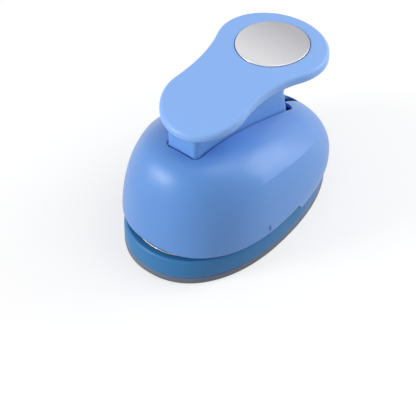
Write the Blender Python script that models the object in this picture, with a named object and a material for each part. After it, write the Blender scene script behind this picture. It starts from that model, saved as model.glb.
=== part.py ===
"""A lever punch that cuts 2 inch paper circles, at real size in metres.

X points to the right side, Y to the back and Z up. The origin lies on the table under the middle.
The paper goes in from the front, between the base and the housing. Pressing the wide end of the lever
turns it on the pivot pin at the front, and the roller under it drives the cutter through the die.
"""
import math

import bmesh
import bpy

# Egg-shaped plan outlines, measured from their widest line
WIDEST_Y = -0.006
SHELL_HALF_WIDTH = 0.0480
SHELL_FRONT = 0.0643
SHELL_REAR = 0.0797
SHELL_FRONT_POWER = 2.36
SHELL_REAR_POWER = 2.24
BASE_HALF_WIDTH = 0.0455
BASE_FRONT = 0.0680
BASE_REAR = 0.0775
BASE_FRONT_POWER = 2.20
BASE_REAR_POWER = 2.24
PLAN_POINTS = 64
WELD = 1e-7

# Heights of the base and of the throat that takes the paper
COVER_TOP = 0.0045
BASE_BOTTOM = 0.0048
TABLE_TOP = 0.0180
SHELL_EDGE = 0.0212
SHELL_REAR_EDGE = 0.0176
THROAT_BACK_Y = 0.008
THROAT_CORNER = 0.0025
GAP = 0.0003
CUT_PAST = 0.002
OVERLAP = 0.001

# Base and bottom cover, both open above
BASE_STRAIGHT_TOP = 0.0120
BASE_EDGE = ((0.0004, 0.0162), (0.0011, 0.0176), (0.0021, TABLE_TOP))
BASE_WALL = 0.0028
TABLE_UNDERSIDE = 0.0132
COVER_EDGE = 0.0008
COVER_FLOOR = 0.0022
COVER_WALL = 0.0026
COVER_BOSS_RADIUS = 0.0055

# Pads inside the housing that its screws go into: near and far from the middle, front, back, top
REAR_PAD = (0.0255, 0.0372, 0.0395, 0.0475, 0.0250)
NOSE_PAD = (0.0325, 0.0429, -0.0395, -0.0325, 0.0290)

# Dome of the housing: the roof line falls towards the back, and the shoulder is rounder there
ROOF_HEIGHT = 0.0643
ROOF_SLOPE = -0.2886
ROOF_BEND = 1.205
ROOF_TWIST = 16.7
ROOF_BOW = 0.0029
BOW_Y = -0.005
BOW_REACH = 0.042
BOW_POWER = 4
SHOULDER_FRONT_Y = -0.070
SHOULDER_REAR_Y = 0.074
SHOULDER_POWERS = (5.42, 2.91)
SHOULDER_ROOTS = (1.62, 1.38)
SHELL_WALL = 0.0025
CREASE_START = 0.66
CREASE_FRACTION = 0.845
CREASE_DRIFT = 0.12
CREASE_LAST_FRACTION = 0.95
CREASE_LIFT = 0.08
CREASE_WALL_POWER = 1.3
CREASE_FULLNESS = 1.6
CREASE_FRONT_ANGLE = math.radians(-42)
CREASE_REAR_ANGLE = math.radians(62)
DOME_FRACTIONS = (1.0, 0.98, 0.955, 0.925, 0.895, 0.87, 0.845, 0.80, 0.73, 0.63, 0.47, 0.25)

# Cutting set: a 2 inch circle
DIE_Y = -0.020
DIE_RADIUS = 0.0254
CUTTER_RADIUS = DIE_RADIUS - GAP
CUTTER_BOTTOM = 0.0212
CUTTER_TOP = 0.0310
CUTTER_WALL = 0.0026
CUTTER_HOLLOW_TOP = 0.0270
DIE_PLATE_BOTTOM = 0.0160
DIE_PLATE_INSET = 0.0053
PLATES_BACK_Y = 0.034
SPACER_BOTTOM = 0.0183
SPACER_TOP = 0.0205
GUIDE_BOTTOM = 0.0208
GUIDE_TOP = 0.0228
GUIDE_INSET = 0.0045
SPACER_INSET = 0.0062
SPACER_SETBACK = 0.0020
RING_WALL = 0.0025
RING_TOP = 0.0280
CHUTE_RADIUS = 0.0270
CHUTE_WALL = 0.0025
DIE_POINTS = 40

# Plunger, its posts and springs
PLUNGER_RADIUS = 0.0240
PLUNGER_BOTTOM = CUTTER_TOP + GAP
ARM_BOTTOM = 0.0380
ARM_TOP = 0.0410
ARM_STEP = 0.0004
ARM_HALF_WIDTH = 0.0050
ARM_HALF_LENGTH = 0.0310
POST_X = 0.0255
POST_REACH_Y = 0.0205
POST_RADIUS = 0.0022
POST_TOP = 0.0440
POST_FOOT_RADIUS = 0.0044
POST_FOOT_TOP = 0.0243
POST_CHAMFER = 0.0006
SPRING_RADIUS = 0.0036
SPRING_WIRE_RADIUS = 0.00045
SPRING_TURNS = 5
SPRING_POINTS_A_TURN = 8
COLUMN_HALF_WIDTH = 0.0063
COLUMN_HALF_DEPTH = 0.0070
COLUMN_TOP = 0.0530
PAD_TOP = 0.0555
PAD_HALF_WIDTH = 0.0058
PAD_HALF_DEPTH = 0.0060
PAD_EDGE = 0.0004

# Lever: pivot, roller and the plate that is pressed
PIVOT_Y = -0.040
PIVOT_Z = 0.058
PIVOT_RADIUS = 0.0030
PIVOT_HALF_LENGTH = 0.0166
ROLLER_RADIUS = 0.0050
ROLLER_Z = PAD_TOP + GAP + ROLLER_RADIUS
ROLLER_HALF_LENGTH = 0.0065
ROLLER_EDGE = 0.0005
AXLE_RADIUS = 0.0017
AXLE_END_GAP = 0.0002
LEVER_TOP = 0.1007
LEVER_ARCH = 2.65
LEVER_ARCH_EASE = 14.0
LEVER_FRONT_RADIUS = 0.0255
LEVER_FRONT_Y = -0.0217
LEVER_BACK_RADIUS = 0.0329
LEVER_BACK_Y = 0.0404
LEVER_WAIST_RADIUS = 0.0790
LEVER_RIM = 0.0062
LEVER_FRONT_RIM = 0.0043
LEVER_RIM_START_Y = -0.005
LEVER_EDGE = 0.0024
LEVER_SKIN = 0.0028
LEVER_WALL = 0.0026
LEVER_RIM_EDGE = 0.0006
BACK_RIB_YS = (0.052, 0.061)
SIDE_RIB_YS = (-0.020, 0.004, 0.028)
RIB_HALF_WIDTH = 0.0008
RIB_BOTTOM = 0.0050
RIB_TOP = 0.0019
DISC_Y = 0.0405
DISC_RADIUS = 0.0206
DISC_STRETCH = 1.13
DISC_POCKET_RADIUS = 0.0210
DISC_POCKET_DEPTH = 0.0015
DISC_PROUD = 0.0005
DISC_EDGE = 0.0004
DISC_RING_SHARES = (0.6,)

# Block between the lever plate and the mechanism
BLOCK_HALF_WIDTH = 0.0106
BLOCK_FRONT_Y = -0.0430
BLOCK_BACK_Y = 0.0446
BLOCK_BACK_LEAN = 0.20
BLOCK_CORNER = 0.0030
BLOCK_WALL = 0.0025
BLOCK_FRONT_BOTTOM = 0.0520
BLOCK_BACK_BOTTOM = 0.0435
BLOCK_SLOPE_START_Y = -0.014
BLOCK_CLEARANCE = 0.010
MOUTH_INSET = 0.0001
NOSE_RADIUS = 0.0075
NOSE_OPEN_TOP = 0.0640
NOSE_INSET = 0.0002
WEB_HALF_WIDTH = 0.0030
WEB_BACK_Y = 0.0670
WEB_BEND_Y = 0.0560
WEB_DROP = 0.0004
WEB_LIFT = 0.0015
WEB_TIP_HEIGHT = 0.0030
WEB_TIP_SLANT = 0.0010

# Slots in the roof of the housing
SLOT_GAP = 0.0005
SLOT_CORNER = 0.0024
SLOT_BACK_Y = 0.0485
WEB_SLOT_HALF_WIDTH = 0.0040
WEB_SLOT_BACK_Y = 0.0645
SLOT_FLOOR = 0.0270

# Bracket that carries the pivot
EAR_INNER_X = 0.0119
EAR_OUTER_X = 0.0147
EAR_RADIUS = 0.0070
FOOT_HALF_WIDTH = 0.0200
FOOT_FRONT_Y = -0.0570
FOOT_BACK_Y = -0.0495
FOOT_TOP = 0.0261
EAR_REAR_EDGE = ((-0.0499, 0.0300), (-0.0485, 0.0330), (-0.0485, 0.0470))
EAR_FRONT_EDGE = ((-0.0540, 0.0500), (-0.0566, 0.0380))
TIE_FRONT_Y = -0.0545
TIE_BACK_Y = -0.0520
TIE_TOP = 0.0430
CLIP_RADIUS = 0.0052
CLIP_WIDTH = 0.0009
WASHER_RADIUS = 0.0055
PIN_CHAMFER = 0.0005

# Fasteners
SCREW_RADIUS = 0.0016
SCREW_HEAD_RADIUS = 0.0033
SCREW_HEAD_HEIGHT = 0.0016
SCREW_HEAD_BOTTOM = 0.0005
SCREW_HEAD_EDGE = 0.0005
SCREW_TIP_RADIUS = 0.0006
SCREW_TIP_LENGTH = 0.0010
BASE_SCREW_X = 0.028
BASE_SCREW_Y = -0.046
BASE_SCREW_TIP = 0.0120
SHELL_SCREW_X = 0.0305
SHELL_SCREW_Y = 0.0436
SHELL_SCREW_TIP = 0.0240
NOSE_SCREW_X = 0.0355
NOSE_SCREW_Y = -0.0360
NOSE_SCREW_TIP = 0.0275
BRACKET_SCREW_X = 0.0160
BRACKET_SCREW_Y = -0.0532
BRACKET_SCREW_TIP = 0.0258
BOSS_RADIUS = 0.0045
FLAT_HEAD_RADIUS = 0.0031
FLAT_HEAD_BOTTOM = GUIDE_BOTTOM + 0.0001
FLAT_HEAD_HEIGHT = 0.0009
FLAT_HEAD_TAPER = 0.0003
BLUNT_TIP = 0.0004
RIVET_RADIUS = 0.0022
RIVET_HEAD_RADIUS = 0.0040
RIVET_HEAD_HEIGHT = 0.0013
RIVET_HEAD_EDGE = 0.0006
RIVET_HEAD_FLAT = 0.0032
RIVET_PLACES = ((0.031, 0.020), (0.016, 0.027))
LEVER_SCREW_YS = (-0.030, -0.006, 0.013)
LEVER_SCREW_RADIUS = 0.0014
LEVER_SCREW_HEAD_RADIUS = 0.0027
LEVER_SCREW_HEAD_FLAT = 0.0022
LEVER_SCREW_HEAD_SIDE = 0.0010
LEVER_SCREW_CLEARANCE = 0.0008
LEVER_SCREW_COVER = 0.0013
CUTTER_SCREW_CIRCLE = 0.0150
CUTTER_SCREW_DEPTH = 0.0030
SMALL_POINTS = 10
ROUND_POINTS = 20

# Centre marks on both sides, level with the middle of the die
MARK_Y = -0.0206
MARK_BOTTOM = 0.0235
MARK_TOP = 0.0272
MARK_HALF_WIDTH = 0.0006
MARK_PROUD = 0.0005

for thing in list(bpy.data.objects):
    bpy.data.objects.remove(thing, do_unlink=True)


def finish(name, colour, roughness, metallic=0.0):
    """A plain material in the part's own colour."""
    material = bpy.data.materials.new(name)
    material.use_nodes = True
    shader = material.node_tree.nodes["Principled BSDF"]
    shader.inputs["Base Color"].default_value = (*colour, 1.0)
    shader.inputs["Roughness"].default_value = roughness
    shader.inputs["Metallic"].default_value = metallic
    return material


SHELL_BLUE = finish("shell_blue_plastic", (0.105, 0.280, 0.690), 0.38)
LEVER_BLUE = finish("lever_blue_plastic", (0.265, 0.480, 0.940), 0.36)
BLOCK_BLUE = finish("block_blue_plastic", (0.150, 0.340, 0.760), 0.40)
BASE_BLUE = finish("base_blue_plastic", (0.055, 0.180, 0.420), 0.45)
FOOT_GREY = finish("foot_grey_plastic", (0.135, 0.155, 0.210), 0.55)
DISC_SILVER = finish("disc_silver", (0.700, 0.700, 0.720), 0.32, 0.6)
STEEL = finish("bright_steel", (0.560, 0.570, 0.580), 0.30, 1.0)
DARK_STEEL = finish("dark_steel", (0.250, 0.250, 0.260), 0.40, 1.0)
CAST_ZINC = finish("cast_zinc", (0.420, 0.430, 0.440), 0.50, 1.0)
WHITE_PLASTIC = finish("white_slide_plastic", (0.720, 0.720, 0.700), 0.45)


def solid(name, mesh_tool, material):
    """Turns a bmesh into a named object with its own copy of a material."""
    bmesh.ops.recalc_face_normals(mesh_tool, faces=mesh_tool.faces)
    mesh = bpy.data.meshes.new(name)
    mesh_tool.to_mesh(mesh)
    mesh_tool.free()
    made = bpy.data.objects.new(name, mesh)
    bpy.context.collection.objects.link(made)
    if material:
        mesh.materials.append(material)
    mesh.shade_smooth()
    mesh.set_sharp_from_angle(angle=math.radians(35))
    return made


def helper(name, mesh_tool):
    """A cutter or an added lump, which is only used by Boolean modifiers."""
    made = solid(name, mesh_tool, None)
    made.hide_render = True
    made.display_type = "WIRE"
    return made


def combine(target, other, operation):
    """Adds a Boolean modifier that stays on the object."""
    step = target.modifiers.new(other.name, "BOOLEAN")
    step.operation = operation
    step.object = other
    step.solver = "EXACT"


def loft(mesh_tool, rings, cap_start=True, cap_end=True):
    """Joins rings of points with faces. A ring of one point closes that end."""
    loops = [[mesh_tool.verts.new(point) for point in ring] for ring in rings]
    for lower, upper in zip(loops, loops[1:]):
        count = max(len(lower), len(upper))
        for i in range(count):
            j = (i + 1) % count
            if len(upper) == 1:
                corners = (lower[i], lower[j], upper[0])
            elif len(lower) == 1:
                corners = (lower[0], upper[j], upper[i])
            else:
                corners = (lower[i], lower[j], upper[j], upper[i])
            mesh_tool.faces.new(corners)
    if cap_start and len(loops[0]) > 1:
        mesh_tool.faces.new(loops[0])
    if cap_end and len(loops[-1]) > 1:
        mesh_tool.faces.new(loops[-1])


def block(mesh_tool, x0, x1, y0, y1, z0, z1):
    """A plain box between two corners."""
    corners = ((x0, y0), (x1, y0), (x1, y1), (x0, y1))
    loft(mesh_tool, [[(x, y, z) for x, y in corners] for z in (z0, z1)])


def circle(x, y, z, radius, points):
    """Points round an upright axis."""
    turn = 2 * math.pi / points
    return [(x + radius * math.cos(i * turn), y + radius * math.sin(i * turn), z) for i in range(points)]


def upright(mesh_tool, x, y, profile, points=SMALL_POINTS):
    """A turned piece on an upright axis, from (radius, height) pairs."""
    loft(mesh_tool, [circle(x, y, height, radius, points) for radius, height in profile])


def repeated(name, places, profile, material):
    """The same turned piece at several places, each one an object with its number in its name."""
    for number, (x, y) in enumerate(places, 1):
        mesh_tool = bmesh.new()
        upright(mesh_tool, x, y, profile)
        solid(f"{name}_{number}", mesh_tool, material)


def sleeve(mesh_tool, x, y, inner, outer, bottom, top, points):
    """A plain tube on an upright axis."""
    corners = ((outer, bottom), (outer, top), (inner, top), (inner, bottom), (outer, bottom))
    rings = [circle(x, y, height, radius, points) for radius, height in corners]
    loft(mesh_tool, rings, cap_start=False, cap_end=False)
    bmesh.ops.remove_doubles(mesh_tool, verts=mesh_tool.verts, dist=WELD)


def crosswise(y, z, x, radius, points):
    """Points round an axis that runs across, at one place on it."""
    turn = 2 * math.pi / points
    return [(x, y + radius * math.cos(i * turn), z + radius * math.sin(i * turn)) for i in range(points)]


def rod(mesh_tool, y, z, x0, x1, radius, points=ROUND_POINTS, chamfer=0.0):
    """A round bar across the object, with its ends broken by a small chamfer."""
    stations = [(x0, radius), (x1, radius)]
    if chamfer:
        end = radius - chamfer
        stations = [(x0, end), (x0 + chamfer, radius), (x1 - chamfer, radius), (x1, end)]
    loft(mesh_tool, [crosswise(y, z, x, r, points) for x, r in stations])


def washer(mesh_tool, y, z, x0, x1, inner, outer, points=ROUND_POINTS):
    """A flat ring on an axis that runs across."""
    corners = ((outer, x0), (outer, x1), (inner, x1), (inner, x0), (outer, x0))
    loft(mesh_tool, [crosswise(y, z, x, r, points) for r, x in corners], cap_start=False, cap_end=False)
    bmesh.ops.remove_doubles(mesh_tool, verts=mesh_tool.verts, dist=WELD)


def side_profile(mesh_tool, outline, x0, x1):
    """A plate with an outline of (y, z) points, between two places across the object."""
    loft(mesh_tool, [[(x, y, z) for y, z in outline] for x in (x0, x1)])


def arc(y, z, radius, start, end, steps):
    """Points on a round corner, angles in degrees."""
    angles = [math.radians(start + (end - start) * i / steps) for i in range(steps + 1)]
    return [(y + radius * math.cos(a), z + radius * math.sin(a)) for a in angles]


def egg(half_width, front, rear, front_power, rear_power, scale=1.0):
    """Plan outline of housing or base, blunt at the front and longer to the back."""
    points = []
    for i in range(PLAN_POINTS):
        turn = 2 * math.pi * i / PLAN_POINTS
        across, along = math.cos(turn), math.sin(turn)
        power = 2 / (front_power if along < 0 else rear_power)
        length = front if along < 0 else rear
        x = math.copysign(half_width * scale * abs(across) ** power, across)
        y = WIDEST_Y + math.copysign(length * scale * abs(along) ** power, along)
        points.append((x, y))
    return points


def shell_plan(inset=0.0, scale=1.0):
    """Outline of the housing, moved inwards."""
    sizes = (SHELL_HALF_WIDTH - inset, SHELL_FRONT - inset, SHELL_REAR - inset)
    return egg(*sizes, SHELL_FRONT_POWER, SHELL_REAR_POWER, scale)


def base_plan(inset=0.0):
    """Outline of the base, moved inwards."""
    sizes = (BASE_HALF_WIDTH - inset, BASE_FRONT - inset, BASE_REAR - inset)
    return egg(*sizes, BASE_FRONT_POWER, BASE_REAR_POWER)


def at_height(outline, height):
    """A plan outline laid at one height."""
    return [(x, y, height) for x, y in outline]


def keep_side(outline, limit, keep_front):
    """Cuts an outline along a line across the object and keeps one side of it."""
    kept = []
    for (x0, y0), (x1, y1) in zip(outline, outline[1:] + outline[:1]):
        inside = (y0 < limit) == keep_front
        if inside:
            kept.append((x0, y0))
        if inside != ((y1 < limit) == keep_front):
            share = (limit - y0) / (y1 - y0)
            kept.append((x0 + share * (x1 - x0), limit))
    return kept


def plate(name, outline, bottom, top, material):
    """A flat plate from its outline."""
    mesh_tool = bmesh.new()
    loft(mesh_tool, [at_height(outline, bottom), at_height(outline, top)])
    return solid(name, mesh_tool, material)


def roof(y):
    """Height of the housing's roof line."""
    return ROOF_HEIGHT + ROOF_SLOPE * y + ROOF_BEND * y ** 2 + ROOF_TWIST * y ** 3


def roof_bow(fraction, y):
    """Extra height of the roof's middle, which fades out at the crease and towards both ends."""
    along = max(0.0, 1 - ((y - BOW_Y) / BOW_REACH) ** 2) ** 2
    across = max(0.0, 1 - (fraction / CREASE_FRACTION) ** BOW_POWER)
    return ROOF_BOW * along * across


def crease_span(turn):
    """How far a direction lies along the side crease, from 0 at its front to 1 at its rear end."""
    turn = math.atan2(math.sin(turn), abs(math.cos(turn)))
    return (turn - CREASE_FRONT_ANGLE) / (CREASE_REAR_ANGLE - CREASE_FRONT_ANGLE)


def crease_weight(span):
    """The side crease is full along the flank and fades to front and back."""
    if not 0 < span < 1:
        return 0.0
    return min(1.0, CREASE_FULLNESS * math.sin(math.pi * span) ** 2)


def shoulder(fraction, y):
    """Share of the roof height without the crease: the curve changes evenly from front to back."""
    share = (y - SHOULDER_FRONT_Y) / (SHOULDER_REAR_Y - SHOULDER_FRONT_Y)
    share = min(1.0, max(0.0, share))
    power = SHOULDER_POWERS[0] + share * (SHOULDER_POWERS[1] - SHOULDER_POWERS[0])
    root = SHOULDER_ROOTS[0] + share * (SHOULDER_ROOTS[1] - SHOULDER_ROOTS[0])
    return (1 - fraction ** power) ** (1 / root)


def dome_share(fraction, turn, y):
    """Share of the roof height reached at a fraction of the way out to the wall."""
    span = crease_span(turn)
    line = CREASE_FRACTION + CREASE_DRIFT * (2 * span - 1) ** 2
    line = min(CREASE_LAST_FRACTION, line)
    if fraction < line:
        rise = max(0.0, (fraction - CREASE_START) / (line - CREASE_START)) ** 2
    else:
        rise = ((1 - fraction) / (1 - line)) ** CREASE_WALL_POWER
    return shoulder(fraction, y) + CREASE_LIFT * crease_weight(span) * rise


def dome_ring(fraction, inset):
    """One ring of the dome, on its outer face or moved inwards to the inner one."""
    ring = []
    for i, (x, y) in enumerate(shell_plan(inset, fraction)):
        turn = 2 * math.pi * i / PLAN_POINTS
        height = roof(y) - inset - SHELL_EDGE
        z = SHELL_EDGE + height * dome_share(fraction, turn, y) + roof_bow(fraction, y)
        ring.append((x, y, z))
    return ring


def dome_rings(inset):
    """All the rings from the lower edge to the point under the top."""
    rings = [at_height(shell_plan(inset), SHELL_REAR_EDGE)]
    rings += [dome_ring(fraction, inset) for fraction in DOME_FRACTIONS]
    top = (0.0, WIDEST_Y, roof(WIDEST_Y) + roof_bow(0.0, WIDEST_Y) - inset)
    return rings + [[top]]


def rounded_slot(half_width, front, back, corner, steps=4):
    """A rectangle with round corners in plan."""
    centres = ((half_width - corner, back - corner, 0), (corner - half_width, back - corner, 90),
               (corner - half_width, front + corner, 180), (half_width - corner, front + corner, 270))
    points = []
    for x, y, start in centres:
        points += arc(x, y, corner, start, start + 90, steps)
    return points


def make_upper_shell():
    """Domed housing, open below, with the lever's slot in its roof and the throat under its front."""
    mesh_tool = bmesh.new()
    outside = dome_rings(0.0)
    inside = dome_rings(SHELL_WALL)
    loft(mesh_tool, inside[::-1] + outside, cap_start=False, cap_end=False)
    shell = solid("upper_shell", mesh_tool, SHELL_BLUE)

    lumps = bmesh.new()
    for side in (-1, 1):
        for pad, bottom in ((REAR_PAD, TABLE_TOP + GAP), (NOSE_PAD, GUIDE_TOP + GAP)):
            near, far, front, back, top = pad
            block(lumps, *sorted((side * near, side * far)), front, back, bottom, top)
        wall = shell_wall_x(MARK_Y)
        mark = sorted((side * (wall - SHELL_WALL / 2), side * (wall + MARK_PROUD)))
        block(lumps, *mark, MARK_Y - MARK_HALF_WIDTH, MARK_Y + MARK_HALF_WIDTH, MARK_BOTTOM, MARK_TOP)
    combine(shell, helper("shell_pads", lumps), "UNION")

    throat = bmesh.new()
    before = -2 * SHELL_FRONT
    below = SHELL_REAR_EDGE - CUT_PAST
    corner_y = THROAT_BACK_Y - THROAT_CORNER
    corner_z = SHELL_EDGE - THROAT_CORNER
    outline = [(before, below), (THROAT_BACK_Y, below)]
    outline += arc(corner_y, corner_z, THROAT_CORNER, 0, 90, 5)
    outline += [(before, SHELL_EDGE)]
    side_profile(throat, outline, -2 * SHELL_HALF_WIDTH, 2 * SHELL_HALF_WIDTH)
    combine(shell, helper("throat_cutter", throat), "DIFFERENCE")

    slot = bmesh.new()
    half_width = BLOCK_HALF_WIDTH + SLOT_GAP
    wide = rounded_slot(half_width, BLOCK_FRONT_Y - SLOT_GAP, SLOT_BACK_Y, SLOT_CORNER)
    loft(slot, [at_height(wide, z) for z in (SLOT_FLOOR, LEVER_TOP)])
    combine(shell, helper("block_slot_cutter", slot), "DIFFERENCE")

    narrow = bmesh.new()
    tail = rounded_slot(WEB_SLOT_HALF_WIDTH, SLOT_BACK_Y - 2 * WEB_SLOT_HALF_WIDTH, WEB_SLOT_BACK_Y,
                        WEB_SLOT_HALF_WIDTH - 100 * WELD)
    loft(narrow, [at_height(tail, z) for z in (SLOT_FLOOR, LEVER_TOP)])
    combine(shell, helper("web_slot_cutter", narrow), "DIFFERENCE")

    holes = bmesh.new()
    for side in (-1, 1):
        drill(holes, side * SHELL_SCREW_X, SHELL_SCREW_Y, TABLE_TOP, SHELL_SCREW_TIP + GAP)
        drill(holes, side * NOSE_SCREW_X, NOSE_SCREW_Y, GUIDE_TOP, NOSE_SCREW_TIP + GAP)
    combine(shell, helper("shell_screw_cutter", holes), "DIFFERENCE")


def shell_wall_x(y):
    """Half width of the housing at its lower edge, in front of the widest line."""
    share = (abs(y - WIDEST_Y) / SHELL_FRONT) ** SHELL_FRONT_POWER
    return SHELL_HALF_WIDTH * (1 - share) ** (1 / SHELL_FRONT_POWER)


def drill(mesh_tool, x, y, bottom, top, radius=SCREW_RADIUS + GAP, points=SMALL_POINTS):
    """A round cutter on an upright axis."""
    upright(mesh_tool, x, y, ((radius, bottom), (radius, top)), points)


def screw_places():
    """Places of the four screws that come in from under the base, front pair first."""
    front = [(side * BASE_SCREW_X, BASE_SCREW_Y) for side in (-1, 1)]
    rear = [(side * SHELL_SCREW_X, SHELL_SCREW_Y) for side in (-1, 1)]
    return front, rear


def make_base_shell():
    """Blue base: skirt, thick table with a recess for the die plate, and a chute for the cut circles."""
    mesh_tool = bmesh.new()
    edge = ((0.0, BASE_BOTTOM), (0.0, BASE_STRAIGHT_TOP)) + BASE_EDGE
    loft(mesh_tool, [at_height(base_plan(inset), z) for inset, z in edge])
    base = solid("base_shell", mesh_tool, BASE_BLUE)

    hollow = bmesh.new()
    inner = base_plan(BASE_WALL)
    loft(hollow, [at_height(inner, BASE_BOTTOM - CUT_PAST), at_height(inner, TABLE_UNDERSIDE)])
    combine(base, helper("base_hollow_cutter", hollow), "DIFFERENCE")

    lumps = bmesh.new()
    inside_table = TABLE_UNDERSIDE + OVERLAP
    upright(lumps, 0, DIE_Y, ((CHUTE_RADIUS + CHUTE_WALL, BASE_BOTTOM),
                              (CHUTE_RADIUS + CHUTE_WALL, inside_table)), DIE_POINTS)
    front, rear = screw_places()
    for x, y in front + rear:
        upright(lumps, x, y, ((BOSS_RADIUS, BASE_BOTTOM), (BOSS_RADIUS, inside_table)))
    combine(base, helper("base_lumps", lumps), "UNION")

    recess = bmesh.new()
    outline = keep_side(base_plan(DIE_PLATE_INSET - GAP), PLATES_BACK_Y + GAP, True)
    loft(recess, [at_height(outline, DIE_PLATE_BOTTOM - GAP), at_height(outline, TABLE_TOP + CUT_PAST)])
    combine(base, helper("die_recess_cutter", recess), "DIFFERENCE")

    holes = bmesh.new()
    drill(holes, 0, DIE_Y, BASE_BOTTOM - CUT_PAST, TABLE_TOP, CHUTE_RADIUS, DIE_POINTS)
    for x, y in front:
        drill(holes, x, y, BASE_BOTTOM - CUT_PAST, BASE_SCREW_TIP + GAP)
    for x, y in rear:
        drill(holes, x, y, BASE_BOTTOM - CUT_PAST, TABLE_TOP + CUT_PAST)
    for x, y in rivet_places():
        head_room = RIVET_HEAD_RADIUS + GAP
        drill(holes, x, y, DIE_PLATE_BOTTOM - 2 * GAP - RIVET_HEAD_HEIGHT, TABLE_TOP, head_room)
    combine(base, helper("base_hole_cutter", holes), "DIFFERENCE")


def make_bottom_cover():
    """Grey cover under the base: the flat foot that the punch stands on."""
    mesh_tool = bmesh.new()
    edge = ((COVER_EDGE, 0.0), (0.0, COVER_EDGE), (0.0, COVER_TOP))
    loft(mesh_tool, [at_height(base_plan(inset), z) for inset, z in edge])
    cover = solid("bottom_cover", mesh_tool, FOOT_GREY)

    hollow = bmesh.new()
    inner = base_plan(COVER_WALL)
    loft(hollow, [at_height(inner, COVER_FLOOR), at_height(inner, COVER_TOP + CUT_PAST)])
    combine(cover, helper("cover_hollow_cutter", hollow), "DIFFERENCE")

    lumps = bmesh.new()
    inside_floor = COVER_FLOOR - OVERLAP
    outer = CHUTE_RADIUS + CHUTE_WALL
    upright(lumps, 0, DIE_Y, ((outer, inside_floor), (outer, COVER_TOP)), DIE_POINTS)
    front, rear = screw_places()
    for x, y in front + rear:
        upright(lumps, x, y, ((COVER_BOSS_RADIUS, inside_floor), (COVER_BOSS_RADIUS, COVER_TOP)))
    combine(cover, helper("cover_lumps", lumps), "UNION")

    holes = bmesh.new()
    drill(holes, 0, DIE_Y, -CUT_PAST, COVER_TOP + CUT_PAST, CHUTE_RADIUS, DIE_POINTS)
    head_room = SCREW_HEAD_RADIUS + GAP
    head_top = SCREW_HEAD_BOTTOM + SCREW_HEAD_HEIGHT + GAP
    for x, y in front + rear:
        through = SCREW_RADIUS + GAP
        upright(holes, x, y, ((head_room, -CUT_PAST), (head_room, head_top), (through, head_top),
                              (through, COVER_TOP + CUT_PAST)))
    combine(cover, helper("cover_hole_cutter", holes), "DIFFERENCE")


def rivet_places():
    """Both sides of each rivet place."""
    return [(side * x, y) for x, y in RIVET_PLACES for side in (-1, 1)]


def flat_head_places():
    """Screws whose flat heads lie flush in the guide plate: two for the housing, two for the bracket."""
    nose = [(side * NOSE_SCREW_X, NOSE_SCREW_Y) for side in (-1, 1)]
    bracket = [(side * BRACKET_SCREW_X, BRACKET_SCREW_Y) for side in (-1, 1)]
    return nose, bracket


def make_die_plate():
    """Steel plate under the paper, with the round die hole."""
    outline = keep_side(base_plan(DIE_PLATE_INSET), PLATES_BACK_Y, True)
    die = plate("die_plate", outline, DIE_PLATE_BOTTOM, TABLE_TOP, STEEL)
    holes = bmesh.new()
    drill(holes, 0, DIE_Y, DIE_PLATE_BOTTOM - CUT_PAST, TABLE_TOP + CUT_PAST, DIE_RADIUS, DIE_POINTS)
    for x, y in rivet_places():
        drill(holes, x, y, DIE_PLATE_BOTTOM - CUT_PAST, TABLE_TOP + CUT_PAST, RIVET_RADIUS + GAP)
    combine(die, helper("die_hole_cutter", holes), "DIFFERENCE")


def make_slot_spacer():
    """Steel strip behind the throat: it sets the slot's height and stops the paper."""
    outline = keep_side(base_plan(SPACER_INSET), PLATES_BACK_Y, True)
    outline = keep_side(outline, THROAT_BACK_Y + SPACER_SETBACK, False)
    spacer = plate("slot_spacer", outline, SPACER_BOTTOM, SPACER_TOP, DARK_STEEL)
    holes = bmesh.new()
    for x, y in rivet_places():
        drill(holes, x, y, SPACER_BOTTOM - CUT_PAST, SPACER_TOP + CUT_PAST, RIVET_RADIUS + GAP)
    combine(spacer, helper("spacer_hole_cutter", holes), "DIFFERENCE")


def make_guide_plate():
    """Steel plate over the paper, which strips it off the cutter and carries the mechanism."""
    outline = keep_side(shell_plan(GUIDE_INSET), PLATES_BACK_Y, True)
    guide = plate("guide_plate", outline, GUIDE_BOTTOM, GUIDE_TOP, STEEL)
    holes = bmesh.new()
    low, high = GUIDE_BOTTOM - CUT_PAST, GUIDE_TOP + CUT_PAST
    drill(holes, 0, DIE_Y, low, high, DIE_RADIUS, DIE_POINTS)
    for x, y in rivet_places():
        drill(holes, x, y, low, high, RIVET_RADIUS + GAP)
    nose, bracket = flat_head_places()
    head_room = FLAT_HEAD_RADIUS + GAP
    head_top = FLAT_HEAD_BOTTOM + FLAT_HEAD_HEIGHT + GAP
    through = SCREW_RADIUS + GAP
    for x, y in nose + bracket:
        upright(holes, x, y, ((head_room, low), (head_room, head_top), (through, head_top), (through, high)))
    combine(guide, helper("guide_hole_cutter", holes), "DIFFERENCE")


def make_guide_ring():
    """Collar that keeps the cutter upright."""
    mesh_tool = bmesh.new()
    sleeve(mesh_tool, 0, DIE_Y, DIE_RADIUS, DIE_RADIUS + RING_WALL, GUIDE_TOP + GAP, RING_TOP, DIE_POINTS)
    solid("guide_ring", mesh_tool, CAST_ZINC)


def post_places():
    """The four posts round the cutter."""
    return [(side * POST_X, DIE_Y + reach) for reach in (-POST_REACH_Y, POST_REACH_Y) for side in (-1, 1)]


def make_guide_posts():
    """Posts that guide the plunger and hold its springs."""
    foot = GUIDE_TOP + GAP
    profile = ((POST_FOOT_RADIUS, foot), (POST_FOOT_RADIUS, POST_FOOT_TOP), (POST_RADIUS, POST_FOOT_TOP),
               (POST_RADIUS, POST_TOP - POST_CHAMFER), (POST_RADIUS - POST_CHAMFER, POST_TOP))
    repeated("guide_post", post_places(), profile, STEEL)


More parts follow.
